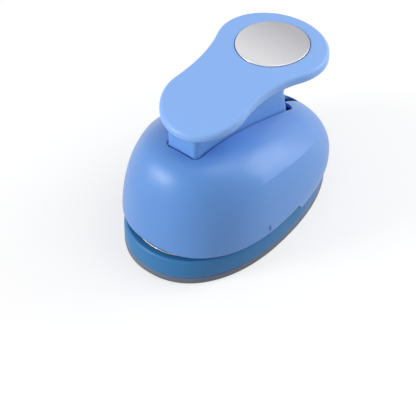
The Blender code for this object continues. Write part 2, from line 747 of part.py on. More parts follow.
def make_springs():
    """Four coil springs that lift the plunger, each one unbroken wire."""
    bottom = POST_FOOT_TOP + GAP + SPRING_WIRE_RADIUS
    top = ARM_BOTTOM - GAP - SPRING_WIRE_RADIUS
    count = SPRING_TURNS * SPRING_POINTS_A_TURN
    rise_a_turn = (top - bottom) / SPRING_TURNS
    for number, (x, y) in enumerate(post_places(), 1):
        wire = bpy.data.curves.new(f"return_spring_{number}", "CURVE")
        wire.dimensions = "3D"
        wire.bevel_depth = SPRING_WIRE_RADIUS
        wire.bevel_resolution = 1
        wire.use_fill_caps = True
        path = wire.splines.new("POLY")
        path.points.add(count)
        for i, point in enumerate(path.points):
            turn = 2 * math.pi * i / SPRING_POINTS_A_TURN
            height = bottom + (top - bottom) * i / count
            point.co = (SPRING_RADIUS * math.cos(turn), SPRING_RADIUS * math.sin(turn), height, 1.0)
        wire.materials.append(STEEL)
        spring = bpy.data.objects.new(f"return_spring_{number}", wire)
        spring.location = (x, y, 0)
        bpy.context.collection.objects.link(spring)
    clear = 1000 * (rise_a_turn - 2 * SPRING_WIRE_RADIUS)
    print(f"Spring: {SPRING_TURNS} curls, gap between them {clear:.2f} mm")


def make_frame_rivets():
    """Four rivets behind the throat hold die plate, spacer and guide plate together."""
    low = DIE_PLATE_BOTTOM - GAP
    high = GUIDE_TOP + GAP
    profile = ((RIVET_HEAD_FLAT, low - RIVET_HEAD_HEIGHT), (RIVET_HEAD_RADIUS, low - RIVET_HEAD_EDGE),
               (RIVET_HEAD_RADIUS, low), (RIVET_RADIUS, low), (RIVET_RADIUS, high),
               (RIVET_HEAD_RADIUS, high), (RIVET_HEAD_RADIUS, high + RIVET_HEAD_EDGE),
               (RIVET_HEAD_FLAT, high + RIVET_HEAD_HEIGHT))
    repeated("frame_rivet", rivet_places(), profile, STEEL)


def pan_screws(name, places, tip):
    """Screws with flat-topped round heads, driven upwards from under the base."""
    head_top = SCREW_HEAD_BOTTOM + SCREW_HEAD_HEIGHT
    profile = ((SCREW_HEAD_RADIUS - SCREW_HEAD_EDGE, SCREW_HEAD_BOTTOM),
               (SCREW_HEAD_RADIUS, SCREW_HEAD_BOTTOM + SCREW_HEAD_EDGE), (SCREW_HEAD_RADIUS, head_top),
               (SCREW_RADIUS, head_top), (SCREW_RADIUS, tip - SCREW_TIP_LENGTH), (SCREW_TIP_RADIUS, tip))
    repeated(name, places, profile, DARK_STEEL)


def flat_screws(name, places, tip):
    """Screws with thin flat heads that lie flush in the guide plate."""
    head_top = FLAT_HEAD_BOTTOM + FLAT_HEAD_HEIGHT
    profile = ((FLAT_HEAD_RADIUS, FLAT_HEAD_BOTTOM), (FLAT_HEAD_RADIUS - FLAT_HEAD_TAPER, head_top),
               (SCREW_RADIUS, head_top), (SCREW_RADIUS, tip - BLUNT_TIP), (SCREW_RADIUS - BLUNT_TIP, tip))
    repeated(name, places, profile, DARK_STEEL)


def make_pivot_bracket():
    """Cast bracket in front of the cutter, whose two ears carry the pivot pin."""
    mesh_tool = bmesh.new()
    bottom = GUIDE_TOP + GAP
    block(mesh_tool, -FOOT_HALF_WIDTH, FOOT_HALF_WIDTH, FOOT_FRONT_Y, FOOT_BACK_Y, bottom, FOOT_TOP)
    bracket = solid("pivot_bracket", mesh_tool, CAST_ZINC)

    ear_foot = bottom + OVERLAP
    outline = [(EAR_REAR_EDGE[0][0], ear_foot), *EAR_REAR_EDGE]
    outline += arc(PIVOT_Y, PIVOT_Z, EAR_RADIUS, -60, 160, 12)
    outline += [*EAR_FRONT_EDGE, (EAR_FRONT_EDGE[1][0], ear_foot)]
    ears = bmesh.new()
    for side in (-1, 1):
        side_profile(ears, outline, *sorted((side * EAR_INNER_X, side * EAR_OUTER_X)))
    combine(bracket, helper("bracket_ears", ears), "UNION")

    tie = bmesh.new()
    reach = EAR_INNER_X + OVERLAP
    block(tie, -reach, reach, TIE_FRONT_Y, TIE_BACK_Y, FOOT_TOP - OVERLAP, TIE_TOP)
    combine(bracket, helper("bracket_tie", tie), "UNION")

    holes = bmesh.new()
    reach = EAR_OUTER_X + CUT_PAST
    rod(holes, PIVOT_Y, PIVOT_Z, -reach, reach, PIVOT_RADIUS + GAP)
    for side in (-1, 1):
        drill(holes, side * BRACKET_SCREW_X, BRACKET_SCREW_Y, bottom - CUT_PAST, FOOT_TOP + CUT_PAST)
    combine(bracket, helper("bracket_hole_cutter", holes), "DIFFERENCE")


def make_pivot_pin():
    """Hinge pin of the lever, with a clip at each end and a washer beside each ear."""
    pin = bmesh.new()
    rod(pin, PIVOT_Y, PIVOT_Z, -PIVOT_HALF_LENGTH, PIVOT_HALF_LENGTH, PIVOT_RADIUS, chamfer=PIN_CHAMFER)
    solid("pivot_pin", pin, STEEL)
    hole = PIVOT_RADIUS + GAP
    for side, name in ((-1, "left"), (1, "right")):
        clip = bmesh.new()
        clip_ends = sorted((side * (EAR_OUTER_X + GAP), side * (EAR_OUTER_X + GAP + CLIP_WIDTH)))
        washer(clip, PIVOT_Y, PIVOT_Z, *clip_ends, hole, CLIP_RADIUS)
        solid(f"pivot_clip_{name}", clip, DARK_STEEL)
        spacer = bmesh.new()
        spacer_ends = sorted((side * (BLOCK_HALF_WIDTH + GAP), side * (EAR_INNER_X - GAP)))
        washer(spacer, PIVOT_Y, PIVOT_Z, *spacer_ends, hole, WASHER_RADIUS)
        solid(f"pivot_washer_{name}", spacer, WHITE_PLASTIC)


def make_cutter():
    """Round steel cup whose lower rim cuts the paper against the die."""
    mesh_tool = bmesh.new()
    inner = CUTTER_RADIUS - CUTTER_WALL
    profile = ((inner, CUTTER_HOLLOW_TOP), (inner, CUTTER_BOTTOM), (CUTTER_RADIUS, CUTTER_BOTTOM),
               (CUTTER_RADIUS, CUTTER_TOP))
    upright(mesh_tool, 0, DIE_Y, profile, DIE_POINTS)
    cutter = solid("cutter", mesh_tool, STEEL)
    holes = bmesh.new()
    for x, y in cutter_screw_places():
        drill(holes, x, y, CUTTER_TOP - CUTTER_SCREW_DEPTH - GAP, CUTTER_TOP + CUT_PAST)
    combine(cutter, helper("cutter_hole_cutter", holes), "DIFFERENCE")


def cutter_screw_places():
    """Three screws on a circle."""
    turns = [math.radians(90 + 120 * i) for i in range(3)]
    return [(CUTTER_SCREW_CIRCLE * math.cos(t), DIE_Y + CUTTER_SCREW_CIRCLE * math.sin(t)) for t in turns]


def make_cutter_screws():
    """Screws that hold the cutter to the plunger from above."""
    tip = CUTTER_TOP - CUTTER_SCREW_DEPTH
    head = ARM_TOP + GAP
    head_top = head + SCREW_HEAD_HEIGHT
    profile = ((SCREW_RADIUS - BLUNT_TIP, tip), (SCREW_RADIUS, tip + BLUNT_TIP), (SCREW_RADIUS, head),
               (SCREW_HEAD_RADIUS, head), (SCREW_HEAD_RADIUS, head_top - SCREW_HEAD_EDGE),
               (SCREW_HEAD_RADIUS - SCREW_HEAD_EDGE, head_top))
    repeated("cutter_screw", cutter_screw_places(), profile, DARK_STEEL)


def make_plunger():
    """Moulded plunger: a disc over the cutter, arms over the springs and a column up to the roller."""
    mesh_tool = bmesh.new()
    upright(mesh_tool, 0, DIE_Y, ((PLUNGER_RADIUS, PLUNGER_BOTTOM), (PLUNGER_RADIUS, ARM_TOP)), DIE_POINTS)
    plunger = solid("plunger", mesh_tool, WHITE_PLASTIC)

    arms = bmesh.new()
    for reach in (-POST_REACH_Y, POST_REACH_Y):
        y = DIE_Y + reach
        block(arms, -ARM_HALF_LENGTH, ARM_HALF_LENGTH, y - ARM_HALF_WIDTH, y + ARM_HALF_WIDTH,
              ARM_BOTTOM, ARM_TOP - ARM_STEP)
    combine(plunger, helper("plunger_arms", arms), "UNION")

    column = bmesh.new()
    block(column, -COLUMN_HALF_WIDTH, COLUMN_HALF_WIDTH, DIE_Y - COLUMN_HALF_DEPTH, DIE_Y + COLUMN_HALF_DEPTH,
          ARM_TOP - OVERLAP, COLUMN_TOP)
    combine(plunger, helper("plunger_column", column), "UNION")

    holes = bmesh.new()
    for x, y in post_places():
        drill(holes, x, y, ARM_BOTTOM - CUT_PAST, ARM_TOP + CUT_PAST, POST_RADIUS + GAP)
    for x, y in cutter_screw_places():
        drill(holes, x, y, PLUNGER_BOTTOM - CUT_PAST, ARM_TOP + CUT_PAST)
    combine(plunger, helper("plunger_hole_cutter", holes), "DIFFERENCE")


def make_wear_pad():
    """Steel pad on the column, where the roller presses."""
    mesh_tool = bmesh.new()
    rings = []
    for shrink, z in ((0.0, COLUMN_TOP + GAP), (0.0, PAD_TOP - PAD_EDGE), (PAD_EDGE, PAD_TOP)):
        x, y = PAD_HALF_WIDTH - shrink, PAD_HALF_DEPTH - shrink
        rings.append([(-x, DIE_Y - y, z), (x, DIE_Y - y, z), (x, DIE_Y + y, z), (-x, DIE_Y + y, z)])
    loft(mesh_tool, rings)
    solid("wear_pad", mesh_tool, STEEL)


def make_roller():
    """Roller in the lever that presses the plunger, turning on a fixed axle."""
    roller = bmesh.new()
    half = ROLLER_HALF_LENGTH
    bore = AXLE_RADIUS + GAP
    face = ROLLER_RADIUS - ROLLER_EDGE
    corners = ((face, -half), (ROLLER_RADIUS, ROLLER_EDGE - half), (ROLLER_RADIUS, half - ROLLER_EDGE),
               (face, half), (bore, half), (bore, -half), (face, -half))
    rings = [crosswise(DIE_Y, ROLLER_Z, x, r, ROUND_POINTS) for r, x in corners]
    loft(roller, rings, cap_start=False, cap_end=False)
    bmesh.ops.remove_doubles(roller, verts=roller.verts, dist=WELD)
    solid("press_roller", roller, STEEL)
    axle = bmesh.new()
    end = BLOCK_HALF_WIDTH - AXLE_END_GAP
    rod(axle, DIE_Y, ROLLER_Z, -end, end, AXLE_RADIUS, SMALL_POINTS, chamfer=AXLE_END_GAP)
    solid("roller_axle", axle, STEEL)


def lever_top(y):
    """Height of the lever's top face, which is arched from front to back."""
    return LEVER_TOP - LEVER_ARCH * y ** 2 + LEVER_ARCH_EASE * y ** 3


def lever_waist_centre():
    """Centre of the hollow arc that joins the two round ends on the right side."""
    to_front = LEVER_WAIST_RADIUS + LEVER_FRONT_RADIUS
    to_back = LEVER_WAIST_RADIUS + LEVER_BACK_RADIUS
    length = LEVER_BACK_Y - LEVER_FRONT_Y
    along = (to_front ** 2 - to_back ** 2 + length ** 2) / (2 * length)
    return math.sqrt(to_front ** 2 - along ** 2), LEVER_FRONT_Y + along


def lever_outline():
    """Points round the lever plate: (x, y, outward x, outward y, place on the spine)."""
    waist_x, waist_y = lever_waist_centre()
    back_angle = math.atan2(waist_y - LEVER_BACK_Y, waist_x)
    front_angle = math.atan2(waist_y - LEVER_FRONT_Y, waist_x)
    points = []

    def round_end(centre_y, radius, start, end, steps):
        for i in range(steps):
            a = start + (end - start) * i / steps
            x, y = radius * math.cos(a), centre_y + radius * math.sin(a)
            points.append((x, y, math.cos(a), math.sin(a), centre_y))

    def hollow(side, start, end, steps):
        for i in range(steps):
            a = start + (end - start) * i / steps
            x = waist_x - LEVER_WAIST_RADIUS * math.cos(a)
            y = waist_y - LEVER_WAIST_RADIUS * math.sin(a)
            share = (a - front_angle) / (back_angle - front_angle)
            spine = LEVER_FRONT_Y + share * (LEVER_BACK_Y - LEVER_FRONT_Y)
            points.append((side * x, y, side * math.cos(a), math.sin(a), spine))

    round_end(LEVER_BACK_Y, LEVER_BACK_RADIUS, back_angle, math.pi - back_angle, 26)
    hollow(-1, back_angle, front_angle, 9)
    round_end(LEVER_FRONT_Y, LEVER_FRONT_RADIUS, math.pi - front_angle, 2 * math.pi + front_angle, 22)
    hollow(1, front_angle, back_angle, 9)
    return points


def rim_depth(y):
    """Height of the lever plate's rim, which is lower towards the front end."""
    front_end = LEVER_FRONT_Y - LEVER_FRONT_RADIUS
    share = (LEVER_RIM_START_Y - y) / (LEVER_RIM_START_Y - front_end)
    return LEVER_RIM - (LEVER_RIM - LEVER_FRONT_RIM) * min(1.0, max(0.0, share))


def lever_ring(inset, drop, share=0.0):
    """One ring of the lever plate, moved inwards, then drawn towards the spine, below the arch."""
    ring = []
    for x, y, out_x, out_y, spine in lever_outline():
        x -= out_x * inset
        y -= out_y * inset
        x *= 1 - share
        y += share * (spine - y)
        ring.append((x, y, lever_top(y) - drop))
    return ring


def rim_ring(inset, above=0.0):
    """One ring at the lower edge of the rim, or a little above it."""
    return [(x, y, z - rim_depth(y) + above) for x, y, z in lever_ring(inset, 0.0)]


def arched_disc(mesh_tool, radius, low_drop, high_drop, edge=0.0, flat_top=None):
    """A slightly long disc bent to the lever's arch, between two depths under it."""
    def plan(r):
        return [(x, DISC_Y + DISC_STRETCH * y) for x, y, _ in circle(0, 0, 0, r, DIE_POINTS)]

    def ring(r, drop):
        return [(x, y, lever_top(y) - drop) for x, y in plan(r)]

    rings = [[(0, DISC_Y, lever_top(DISC_Y) - low_drop)]]
    rings += [ring(radius * share, low_drop) for share in DISC_RING_SHARES]
    rings.append(ring(radius, low_drop))
    if flat_top:
        rings.append(at_height(plan(radius), flat_top))
        loft(mesh_tool, rings, cap_start=False)
        return
    rings += [ring(radius, high_drop + edge), ring(radius - edge, high_drop)]
    rings += [ring(radius * share, high_drop) for share in DISC_RING_SHARES[::-1]]
    rings.append([(0, DISC_Y, lever_top(DISC_Y) - high_drop)])
    loft(mesh_tool, rings, cap_start=False, cap_end=False)


def lever_rib(mesh_tool, x0, x1, y):
    """One rib across the underside of the lever plate."""
    top = lever_top(y)
    block(mesh_tool, x0, x1, y - RIB_HALF_WIDTH, y + RIB_HALF_WIDTH, top - RIB_BOTTOM, top - RIB_TOP)


def lever_half_width(y):
    """Half width of the lever plate at a place along it."""
    if y < LEVER_FRONT_Y:
        return math.sqrt(LEVER_FRONT_RADIUS ** 2 - (y - LEVER_FRONT_Y) ** 2)
    waist_x, waist_y = lever_waist_centre()
    along = waist_y - LEVER_BACK_Y
    reach = LEVER_BACK_Y + LEVER_BACK_RADIUS * along / math.hypot(waist_x, along)
    if y > reach:
        return math.sqrt(LEVER_BACK_RADIUS ** 2 - (y - LEVER_BACK_Y) ** 2)
    return waist_x - math.sqrt(LEVER_WAIST_RADIUS ** 2 - (y - waist_y) ** 2)


def make_lever_plate():
    """Arched plate that is pressed by hand: a thin skin with a rim, ribs below and a recess for the disc."""
    mesh_tool = bmesh.new()
    rings = [lever_ring(LEVER_WALL, LEVER_SKIN, share) for share in (1.0, 0.66, 0.33, 0.0)]
    rings += [rim_ring(LEVER_WALL), rim_ring(LEVER_RIM_EDGE), rim_ring(0.0, LEVER_RIM_EDGE)]
    for degrees in (0, 30, 60, 90):
        a = math.radians(degrees)
        rings.append(lever_ring(LEVER_EDGE * (1 - math.cos(a)), LEVER_EDGE * (1 - math.sin(a))))
    rings += [lever_ring(LEVER_EDGE, 0.0, share) for share in (0.3, 0.65, 1.0)]
    loft(mesh_tool, rings, cap_start=False, cap_end=False)
    bmesh.ops.remove_doubles(mesh_tool, verts=mesh_tool.verts, dist=10 * WELD)
    lever = solid("lever_plate", mesh_tool, LEVER_BLUE)

    ribs = bmesh.new()
    for y in BACK_RIB_YS:
        end = lever_half_width(y) - LEVER_WALL / 2
        lever_rib(ribs, -end, end, y)
    for y in SIDE_RIB_YS:
        end = lever_half_width(y) - LEVER_WALL / 2
        for side in (-1, 1):
            lever_rib(ribs, *sorted((side * (BLOCK_HALF_WIDTH + OVERLAP), side * end)), y)
    combine(lever, helper("lever_ribs", ribs), "UNION")

    pocket = bmesh.new()
    arched_disc(pocket, DISC_POCKET_RADIUS, DISC_POCKET_DEPTH, 0.0, flat_top=LEVER_TOP + CUT_PAST)
    combine(lever, helper("disc_pocket_cutter", pocket), "DIFFERENCE")

    holes = bmesh.new()
    for y in LEVER_SCREW_YS:
        hole_top = lever_top(y) - LEVER_SCREW_COVER + GAP
        drill(holes, 0, y, lever_top(y) - LEVER_RIM, hole_top, LEVER_SCREW_RADIUS + GAP)
    combine(lever, helper("lever_hole_cutter", holes), "DIFFERENCE")


def make_label_disc():
    """Plain silver disc let into the wide end of the lever."""
    mesh_tool = bmesh.new()
    arched_disc(mesh_tool, DISC_RADIUS, DISC_POCKET_DEPTH - GAP, -DISC_PROUD, edge=DISC_EDGE)
    solid("label_disc", mesh_tool, DISC_SILVER)


def block_bottom(y):
    """Height of the block's open lower edge, which falls towards the back."""
    if y < BLOCK_SLOPE_START_Y:
        return BLOCK_FRONT_BOTTOM
    share = (y - BLOCK_SLOPE_START_Y) / (BLOCK_BACK_Y - BLOCK_SLOPE_START_Y)
    return BLOCK_FRONT_BOTTOM + share * (BLOCK_BACK_BOTTOM - BLOCK_FRONT_BOTTOM)


def block_back(z):
    """Place of the block's rear face, which leans forwards from its lower edge."""
    return BLOCK_BACK_Y - BLOCK_BACK_LEAN * (z - BLOCK_BACK_BOTTOM)


def under_arch(front, back, drop, steps=12):
    """Points (y, z) from back to front at one depth under the lever's top face."""
    places = [back + (front - back) * i / steps for i in range(steps + 1)]
    return [(y, lever_top(y) - drop) for y in places]


def make_lever_block():
    """Hollow block under the lever plate. It dips into the housing, and its cheeks hold pivot and roller."""
    top_drop = LEVER_SKIN + GAP
    mesh_tool = bmesh.new()
    front, back = BLOCK_FRONT_Y - CUT_PAST, BLOCK_BACK_Y + CUT_PAST
    lower_edge = [(y, block_bottom(y)) for y in (front, BLOCK_SLOPE_START_Y, back)]
    outline = lower_edge + under_arch(front, back, top_drop)
    side_profile(mesh_tool, outline, -BLOCK_HALF_WIDTH - CUT_PAST, BLOCK_HALF_WIDTH + CUT_PAST)
    lever_block = solid("lever_block", mesh_tool, BLOCK_BLUE)

    plan = bmesh.new()
    below, above = BLOCK_BACK_BOTTOM - BLOCK_CLEARANCE, LEVER_TOP + CUT_PAST
    loft(plan, [at_height(rounded_slot(BLOCK_HALF_WIDTH, BLOCK_FRONT_Y, block_back(z), BLOCK_CORNER), z)
                for z in (below, above)])
    combine(lever_block, helper("block_plan", plan), "INTERSECT")

    web = bmesh.new()
    foot = BLOCK_BACK_BOTTOM + WEB_LIFT
    drop = LEVER_RIM + WEB_DROP
    inside = block_back(LEVER_TOP - drop) - BLOCK_WALL / 2
    outline = [(block_back(foot) - BLOCK_WALL / 2, foot)]
    outline += [(y, lever_top(y) - drop) for y in (inside, WEB_BEND_Y, WEB_BACK_Y)]
    outline.append((WEB_BACK_Y - WEB_TIP_SLANT, lever_top(WEB_BACK_Y) - drop - WEB_TIP_HEIGHT))
    side_profile(web, outline, -WEB_HALF_WIDTH, WEB_HALF_WIDTH)
    combine(lever_block, helper("block_web", web), "UNION")

    nose = bmesh.new()
    half_length = BLOCK_HALF_WIDTH - NOSE_INSET
    rod(nose, PIVOT_Y, PIVOT_Z, -half_length, half_length, NOSE_RADIUS)
    combine(lever_block, helper("block_nose", nose), "UNION")

    hollow = bmesh.new()
    inner_x = BLOCK_HALF_WIDTH - BLOCK_WALL
    ceiling = top_drop + BLOCK_WALL
    front = BLOCK_FRONT_Y + BLOCK_WALL
    back = block_back(LEVER_TOP - ceiling) - BLOCK_WALL
    inside = [(front, below), (block_back(below) - BLOCK_WALL, below)] + under_arch(front, back, ceiling)
    side_profile(hollow, inside, -inner_x, inner_x)
    combine(lever_block, helper("block_hollow_cutter", hollow), "DIFFERENCE")

    relief = bmesh.new()
    inner = LEVER_WALL + GAP
    rings = [rim_ring(inner, -GAP), rim_ring(-CUT_PAST, -GAP), lever_ring(-CUT_PAST, -CUT_PAST),
             lever_ring(inner, -CUT_PAST), rim_ring(inner, -GAP)]
    loft(relief, rings, cap_start=False, cap_end=False)
    bmesh.ops.remove_doubles(relief, verts=relief.verts, dist=WELD)
    combine(lever_block, helper("block_rim_cutter", relief), "DIFFERENCE")

    mouth = bmesh.new()
    edge = inner_x - MOUTH_INSET
    block(mouth, -edge, edge, PIVOT_Y - NOSE_RADIUS - CUT_PAST, front + BLOCK_WALL, below, NOSE_OPEN_TOP)
    combine(lever_block, helper("block_mouth_cutter", mouth), "DIFFERENCE")

    holes = bmesh.new()
    reach = BLOCK_HALF_WIDTH + CUT_PAST
    rod(holes, PIVOT_Y, PIVOT_Z, -reach, reach, PIVOT_RADIUS + GAP)
    rod(holes, DIE_Y, ROLLER_Z, -reach, reach, AXLE_RADIUS + GAP, SMALL_POINTS)
    for y in LEVER_SCREW_YS:
        drill(holes, 0, y, lever_top(y) - 2 * ceiling, lever_top(y), LEVER_SCREW_RADIUS + GAP)
    combine(lever_block, helper("block_hole_cutter", holes), "DIFFERENCE")


def make_lever_screws():
    """Screws that hold the lever plate on its block, driven upwards inside it."""
    for number, y in enumerate(LEVER_SCREW_YS, 1):
        head_top = lever_top(y) - LEVER_SKIN - GAP - BLOCK_WALL - LEVER_SCREW_CLEARANCE
        tip = lever_top(y) - LEVER_SCREW_COVER
        profile = ((LEVER_SCREW_HEAD_FLAT, head_top - SCREW_HEAD_HEIGHT),
                   (LEVER_SCREW_HEAD_RADIUS, head_top - LEVER_SCREW_HEAD_SIDE),
                   (LEVER_SCREW_HEAD_RADIUS, head_top), (LEVER_SCREW_RADIUS, head_top),
                   (LEVER_SCREW_RADIUS, tip - BLUNT_TIP), (LEVER_SCREW_RADIUS - BLUNT_TIP, tip))
        screw = bmesh.new()
        upright(screw, 0, y, profile)
        solid(f"lever_screw_{number}", screw, DARK_STEEL)


def put_on_axis(names, origin, parent_name):
    """Gives moving pieces an empty on their joint's axis as parent, and leaves them where they are."""
    axis = bpy.data.objects.new(parent_name, None)
    axis.location = origin
    bpy.context.collection.objects.link(axis)
    bpy.context.view_layer.update()
    for name in names:
        piece = bpy.data.objects[name]
        piece.parent = axis
        piece.matrix_parent_inverse = axis.matrix_world.inverted()


make_upper_shell()
make_base_shell()
make_bottom_cover()
make_die_plate()
make_slot_spacer()
make_guide_plate()
make_guide_ring()
make_guide_posts()
make_springs()
make_frame_rivets()
FRONT_SCREWS, REAR_SCREWS = screw_places()
pan_screws("base_screw", FRONT_SCREWS, BASE_SCREW_TIP)
pan_screws("shell_screw", REAR_SCREWS, SHELL_SCREW_TIP)
NOSE_SCREWS, BRACKET_SCREWS = flat_head_places()
flat_screws("shell_nose_screw", NOSE_SCREWS, NOSE_SCREW_TIP)
flat_screws("bracket_screw", BRACKET_SCREWS, BRACKET_SCREW_TIP)
make_pivot_bracket()
make_pivot_pin()
make_cutter()
make_cutter_screws()
make_plunger()
make_wear_pad()
make_roller()
make_lever_plate()
make_label_disc()
make_lever_block()
make_lever_screws()

LEVER_PIECES = ["lever_plate", "label_disc", "lever_block", "roller_axle"]
LEVER_PIECES += [f"lever_screw_{number}" for number in (1, 2, 3)]
PUNCH_PIECES = ["plunger", "wear_pad", "cutter"] + [f"cutter_screw_{number}" for number in (1, 2, 3)]
put_on_axis(LEVER_PIECES, (0, PIVOT_Y, PIVOT_Z), "lever_axis")
put_on_axis(["press_roller"], (0, DIE_Y, ROLLER_Z), "roller_axis")
put_on_axis(PUNCH_PIECES, (0, DIE_Y, CUTTER_BOTTOM), "punch_axis")
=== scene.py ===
# %% [markdown]
# # A paper circle punch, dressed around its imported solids
#
# The real object is a desk tool of moulded blue plastic over a steel cutting set. The solids already
# have its size, its joints and its hidden parts. This lesson gives them the surfaces that the eye sees:
# clean curves, small rounded edges and plastics and metals made from shader nodes.

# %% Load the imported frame
import math

import bmesh
import bpy
import numpy as np
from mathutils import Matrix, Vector


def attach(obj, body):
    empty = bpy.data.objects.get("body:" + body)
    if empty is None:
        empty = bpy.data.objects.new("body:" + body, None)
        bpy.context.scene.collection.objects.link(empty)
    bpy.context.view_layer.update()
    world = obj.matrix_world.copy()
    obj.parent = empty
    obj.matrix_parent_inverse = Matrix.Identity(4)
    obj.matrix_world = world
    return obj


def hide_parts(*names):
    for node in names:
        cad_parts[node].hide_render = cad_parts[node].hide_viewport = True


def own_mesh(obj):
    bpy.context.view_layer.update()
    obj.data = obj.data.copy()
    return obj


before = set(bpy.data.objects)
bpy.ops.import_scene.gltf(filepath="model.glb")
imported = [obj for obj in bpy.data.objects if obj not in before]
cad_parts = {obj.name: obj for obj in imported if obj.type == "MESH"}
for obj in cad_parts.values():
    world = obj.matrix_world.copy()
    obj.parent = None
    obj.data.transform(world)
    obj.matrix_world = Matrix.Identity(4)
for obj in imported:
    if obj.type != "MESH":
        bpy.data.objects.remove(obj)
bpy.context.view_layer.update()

# %% [markdown]
# ## Camera
#
# The photograph looks down on the punch from its front right corner, with a long lens. A long lens keeps
# the far side of the object nearly as large as the near side. The place was found by fitting the outlines,
# and the tiny shift sets the picture half a pixel right and down, where the photograph has it.

# %% Camera
PICTURE_WIDTH = 416
FOCAL_PIXELS = 2000.0
SENSOR_WIDTH = 36.0
HALF_PIXEL = 0.5 / PICTURE_WIDTH
EYE = (0.5060, -0.6547, 0.8621)
AIM = (-0.0051, -0.0121, 0.0)


def add_object(name, data, place=(0, 0, 0), target=None):
    """Adds an object to the scene; a camera or lamp is turned to face its target."""
    made = bpy.data.objects.new(name, data)
    made.location = place
    if target:
        made.rotation_euler = (Vector(target) - Vector(place)).to_track_quat("-Z", "Y").to_euler()
    bpy.context.scene.collection.objects.link(made)
    return made


camera_data = bpy.data.cameras.new("camera")
camera_data.sensor_width = SENSOR_WIDTH
camera_data.lens = SENSOR_WIDTH * FOCAL_PIXELS / PICTURE_WIDTH
camera_data.shift_x, camera_data.shift_y = -HALF_PIXEL, HALF_PIXEL
bpy.context.scene.camera = add_object("camera", camera_data, EYE, AIM)
bpy.context.scene.view_settings.view_transform = "Standard"
print(f"camera: {camera_data.lens:.1f} mm lens, {math.dist(EYE, AIM):.3f} m away")

# %% [markdown]
# ## A small kit for shader nodes
#
# The floor, the light and every finish are drawn by nodes. Adding a node by hand takes a line for each
# option, value and link. The helpers here take them all at once, so that one line reads as one node.


# %% Node helpers
def feed(tree, node, inputs):
    """Gives each named input of a node its value, or a link where an output is given."""
    for socket, value in inputs.items():
        if isinstance(value, bpy.types.NodeSocket):
            tree.links.new(value, node.inputs[socket])
        else:
            node.inputs[socket].default_value = value


def add_node(tree, kind, inputs=None, **settings):
    """Adds a node, sets its options and feeds its inputs."""
    made = tree.nodes.new("ShaderNode" + kind)
    for key, value in settings.items():
        setattr(made, key, value)
    feed(tree, made, inputs or {})
    return made


def maths(tree, operation, first, second):
    """The result of one operation on two outputs or numbers."""
    return add_node(tree, "Math", {0: first, 1: second}, operation=operation).outputs[0]


def spread(tree, source, near, far, low=0.0, high=1.0, **settings):
    """Maps the range from near to far to the range from low to high, with clamped ends."""
    return add_node(tree, "MapRange", {"Value": source, "From Min": near, "From Max": far, "To Min": low,
                                       "To Max": high}, **settings).outputs[0]


def mixed(tree, share, first, second):
    """A mix of two colours."""
    return add_node(tree, "Mix", {0: share, 6: first, 7: second}, data_type="RGBA").outputs[2]


def new_material(name):
    """A new material with its node tree and its shader."""
    material = bpy.data.materials.new(name)
    material.use_nodes = True
    return material, material.node_tree, material.node_tree.nodes["Principled BSDF"]


# %% [markdown]
# ## Studio
#
# A pale floor and large soft lamps, as in a product studio. The world is plain white. It could be much
# brighter to make the background white, but that would wash out the blue, so the floor only shines
# where the camera or a reflection looks at it, and its shadow stays.

# %% Studio
WHITE = (1.0, 1.0, 1.0, 1.0)
WORLD_LEVEL = 0.48
FLOOR_COLOUR, FLOOR_ROUGHNESS, FLOOR_GLOW = (0.46, 0.46, 0.46, 1.0), 0.9, 0.58
FLOOR_NEAR, FLOOR_FAR = 0.30, 1.20
FLOOR_SIZE = 6.0
LAMP_TARGET = (0, 0, 0.05)
LAMPS = (
    ("window_left", (-0.62, -1.00, 0.42), (0.40, 0.40), 8.6),
    ("window_back", (0.64, 1.00, 0.42), (0.80, 0.46), 6.4),
    ("sky_right", (0.44, 0.38, 1.02), (0.60, 0.60), 3.0),
)


def seen_directly(tree):
    """One where the camera, a reflection or a clear material looks, and nought for other light."""
    path = add_node(tree, "LightPath").outputs
    seen = maths(tree, "MAXIMUM", path["Is Camera Ray"], path["Is Glossy Ray"])
    return maths(tree, "MAXIMUM", seen, path["Is Transmission Ray"])


def white_world():
    """White where it is looked at, and a plain soft light on everything else."""
    world = bpy.data.worlds.new("studio_world")
    bpy.context.scene.world = world
    world.use_nodes = True
    tree = world.node_tree
    strength = spread(tree, seen_directly(tree), 0.0, 1.0, WORLD_LEVEL, 1.0)
    feed(tree, tree.nodes["Background"], {"Color": WHITE, "Strength": strength})


def pale_floor():
    """A wide plane that keeps the shadow, with a glow where it is looked at that grows to white far away."""
    half = FLOOR_SIZE / 2
    mesh = bpy.data.meshes.new("floor")
    mesh.from_pydata([(-half, -half, 0), (half, -half, 0), (half, half, 0), (-half, half, 0)], [], [(0, 1, 2, 3)])
    paper, tree, shader = new_material("floor_paper")
    place = add_node(tree, "TexCoord").outputs["Object"]
    distance = add_node(tree, "VectorMath", {0: place}, operation="LENGTH").outputs["Value"]
    level = spread(tree, distance, FLOOR_NEAR, FLOOR_FAR, FLOOR_GLOW, 1.0, interpolation_type="SMOOTHSTEP")
    glow = maths(tree, "MULTIPLY", seen_directly(tree), level)
    feed(tree, shader, {"Base Color": FLOOR_COLOUR, "Roughness": FLOOR_ROUGHNESS, "Specular IOR Level": 0.0,
                        "Emission Color": WHITE, "Emission Strength": glow})
    mesh.materials.append(paper)
    add_object("floor", mesh)


def soft_lamp(name, place, size, watts):
    """A rectangular lamp that faces the middle of the punch."""
    data = bpy.data.lights.new(name, "AREA")
    data.shape = "RECTANGLE"
    data.size, data.size_y = size
    data.energy = watts
    add_object(name, data, place, LAMP_TARGET)


white_world()
pale_floor()
for lamp_settings in LAMPS:
    soft_lamp(*lamp_settings)
print("studio:", len(LAMPS), "lamps")

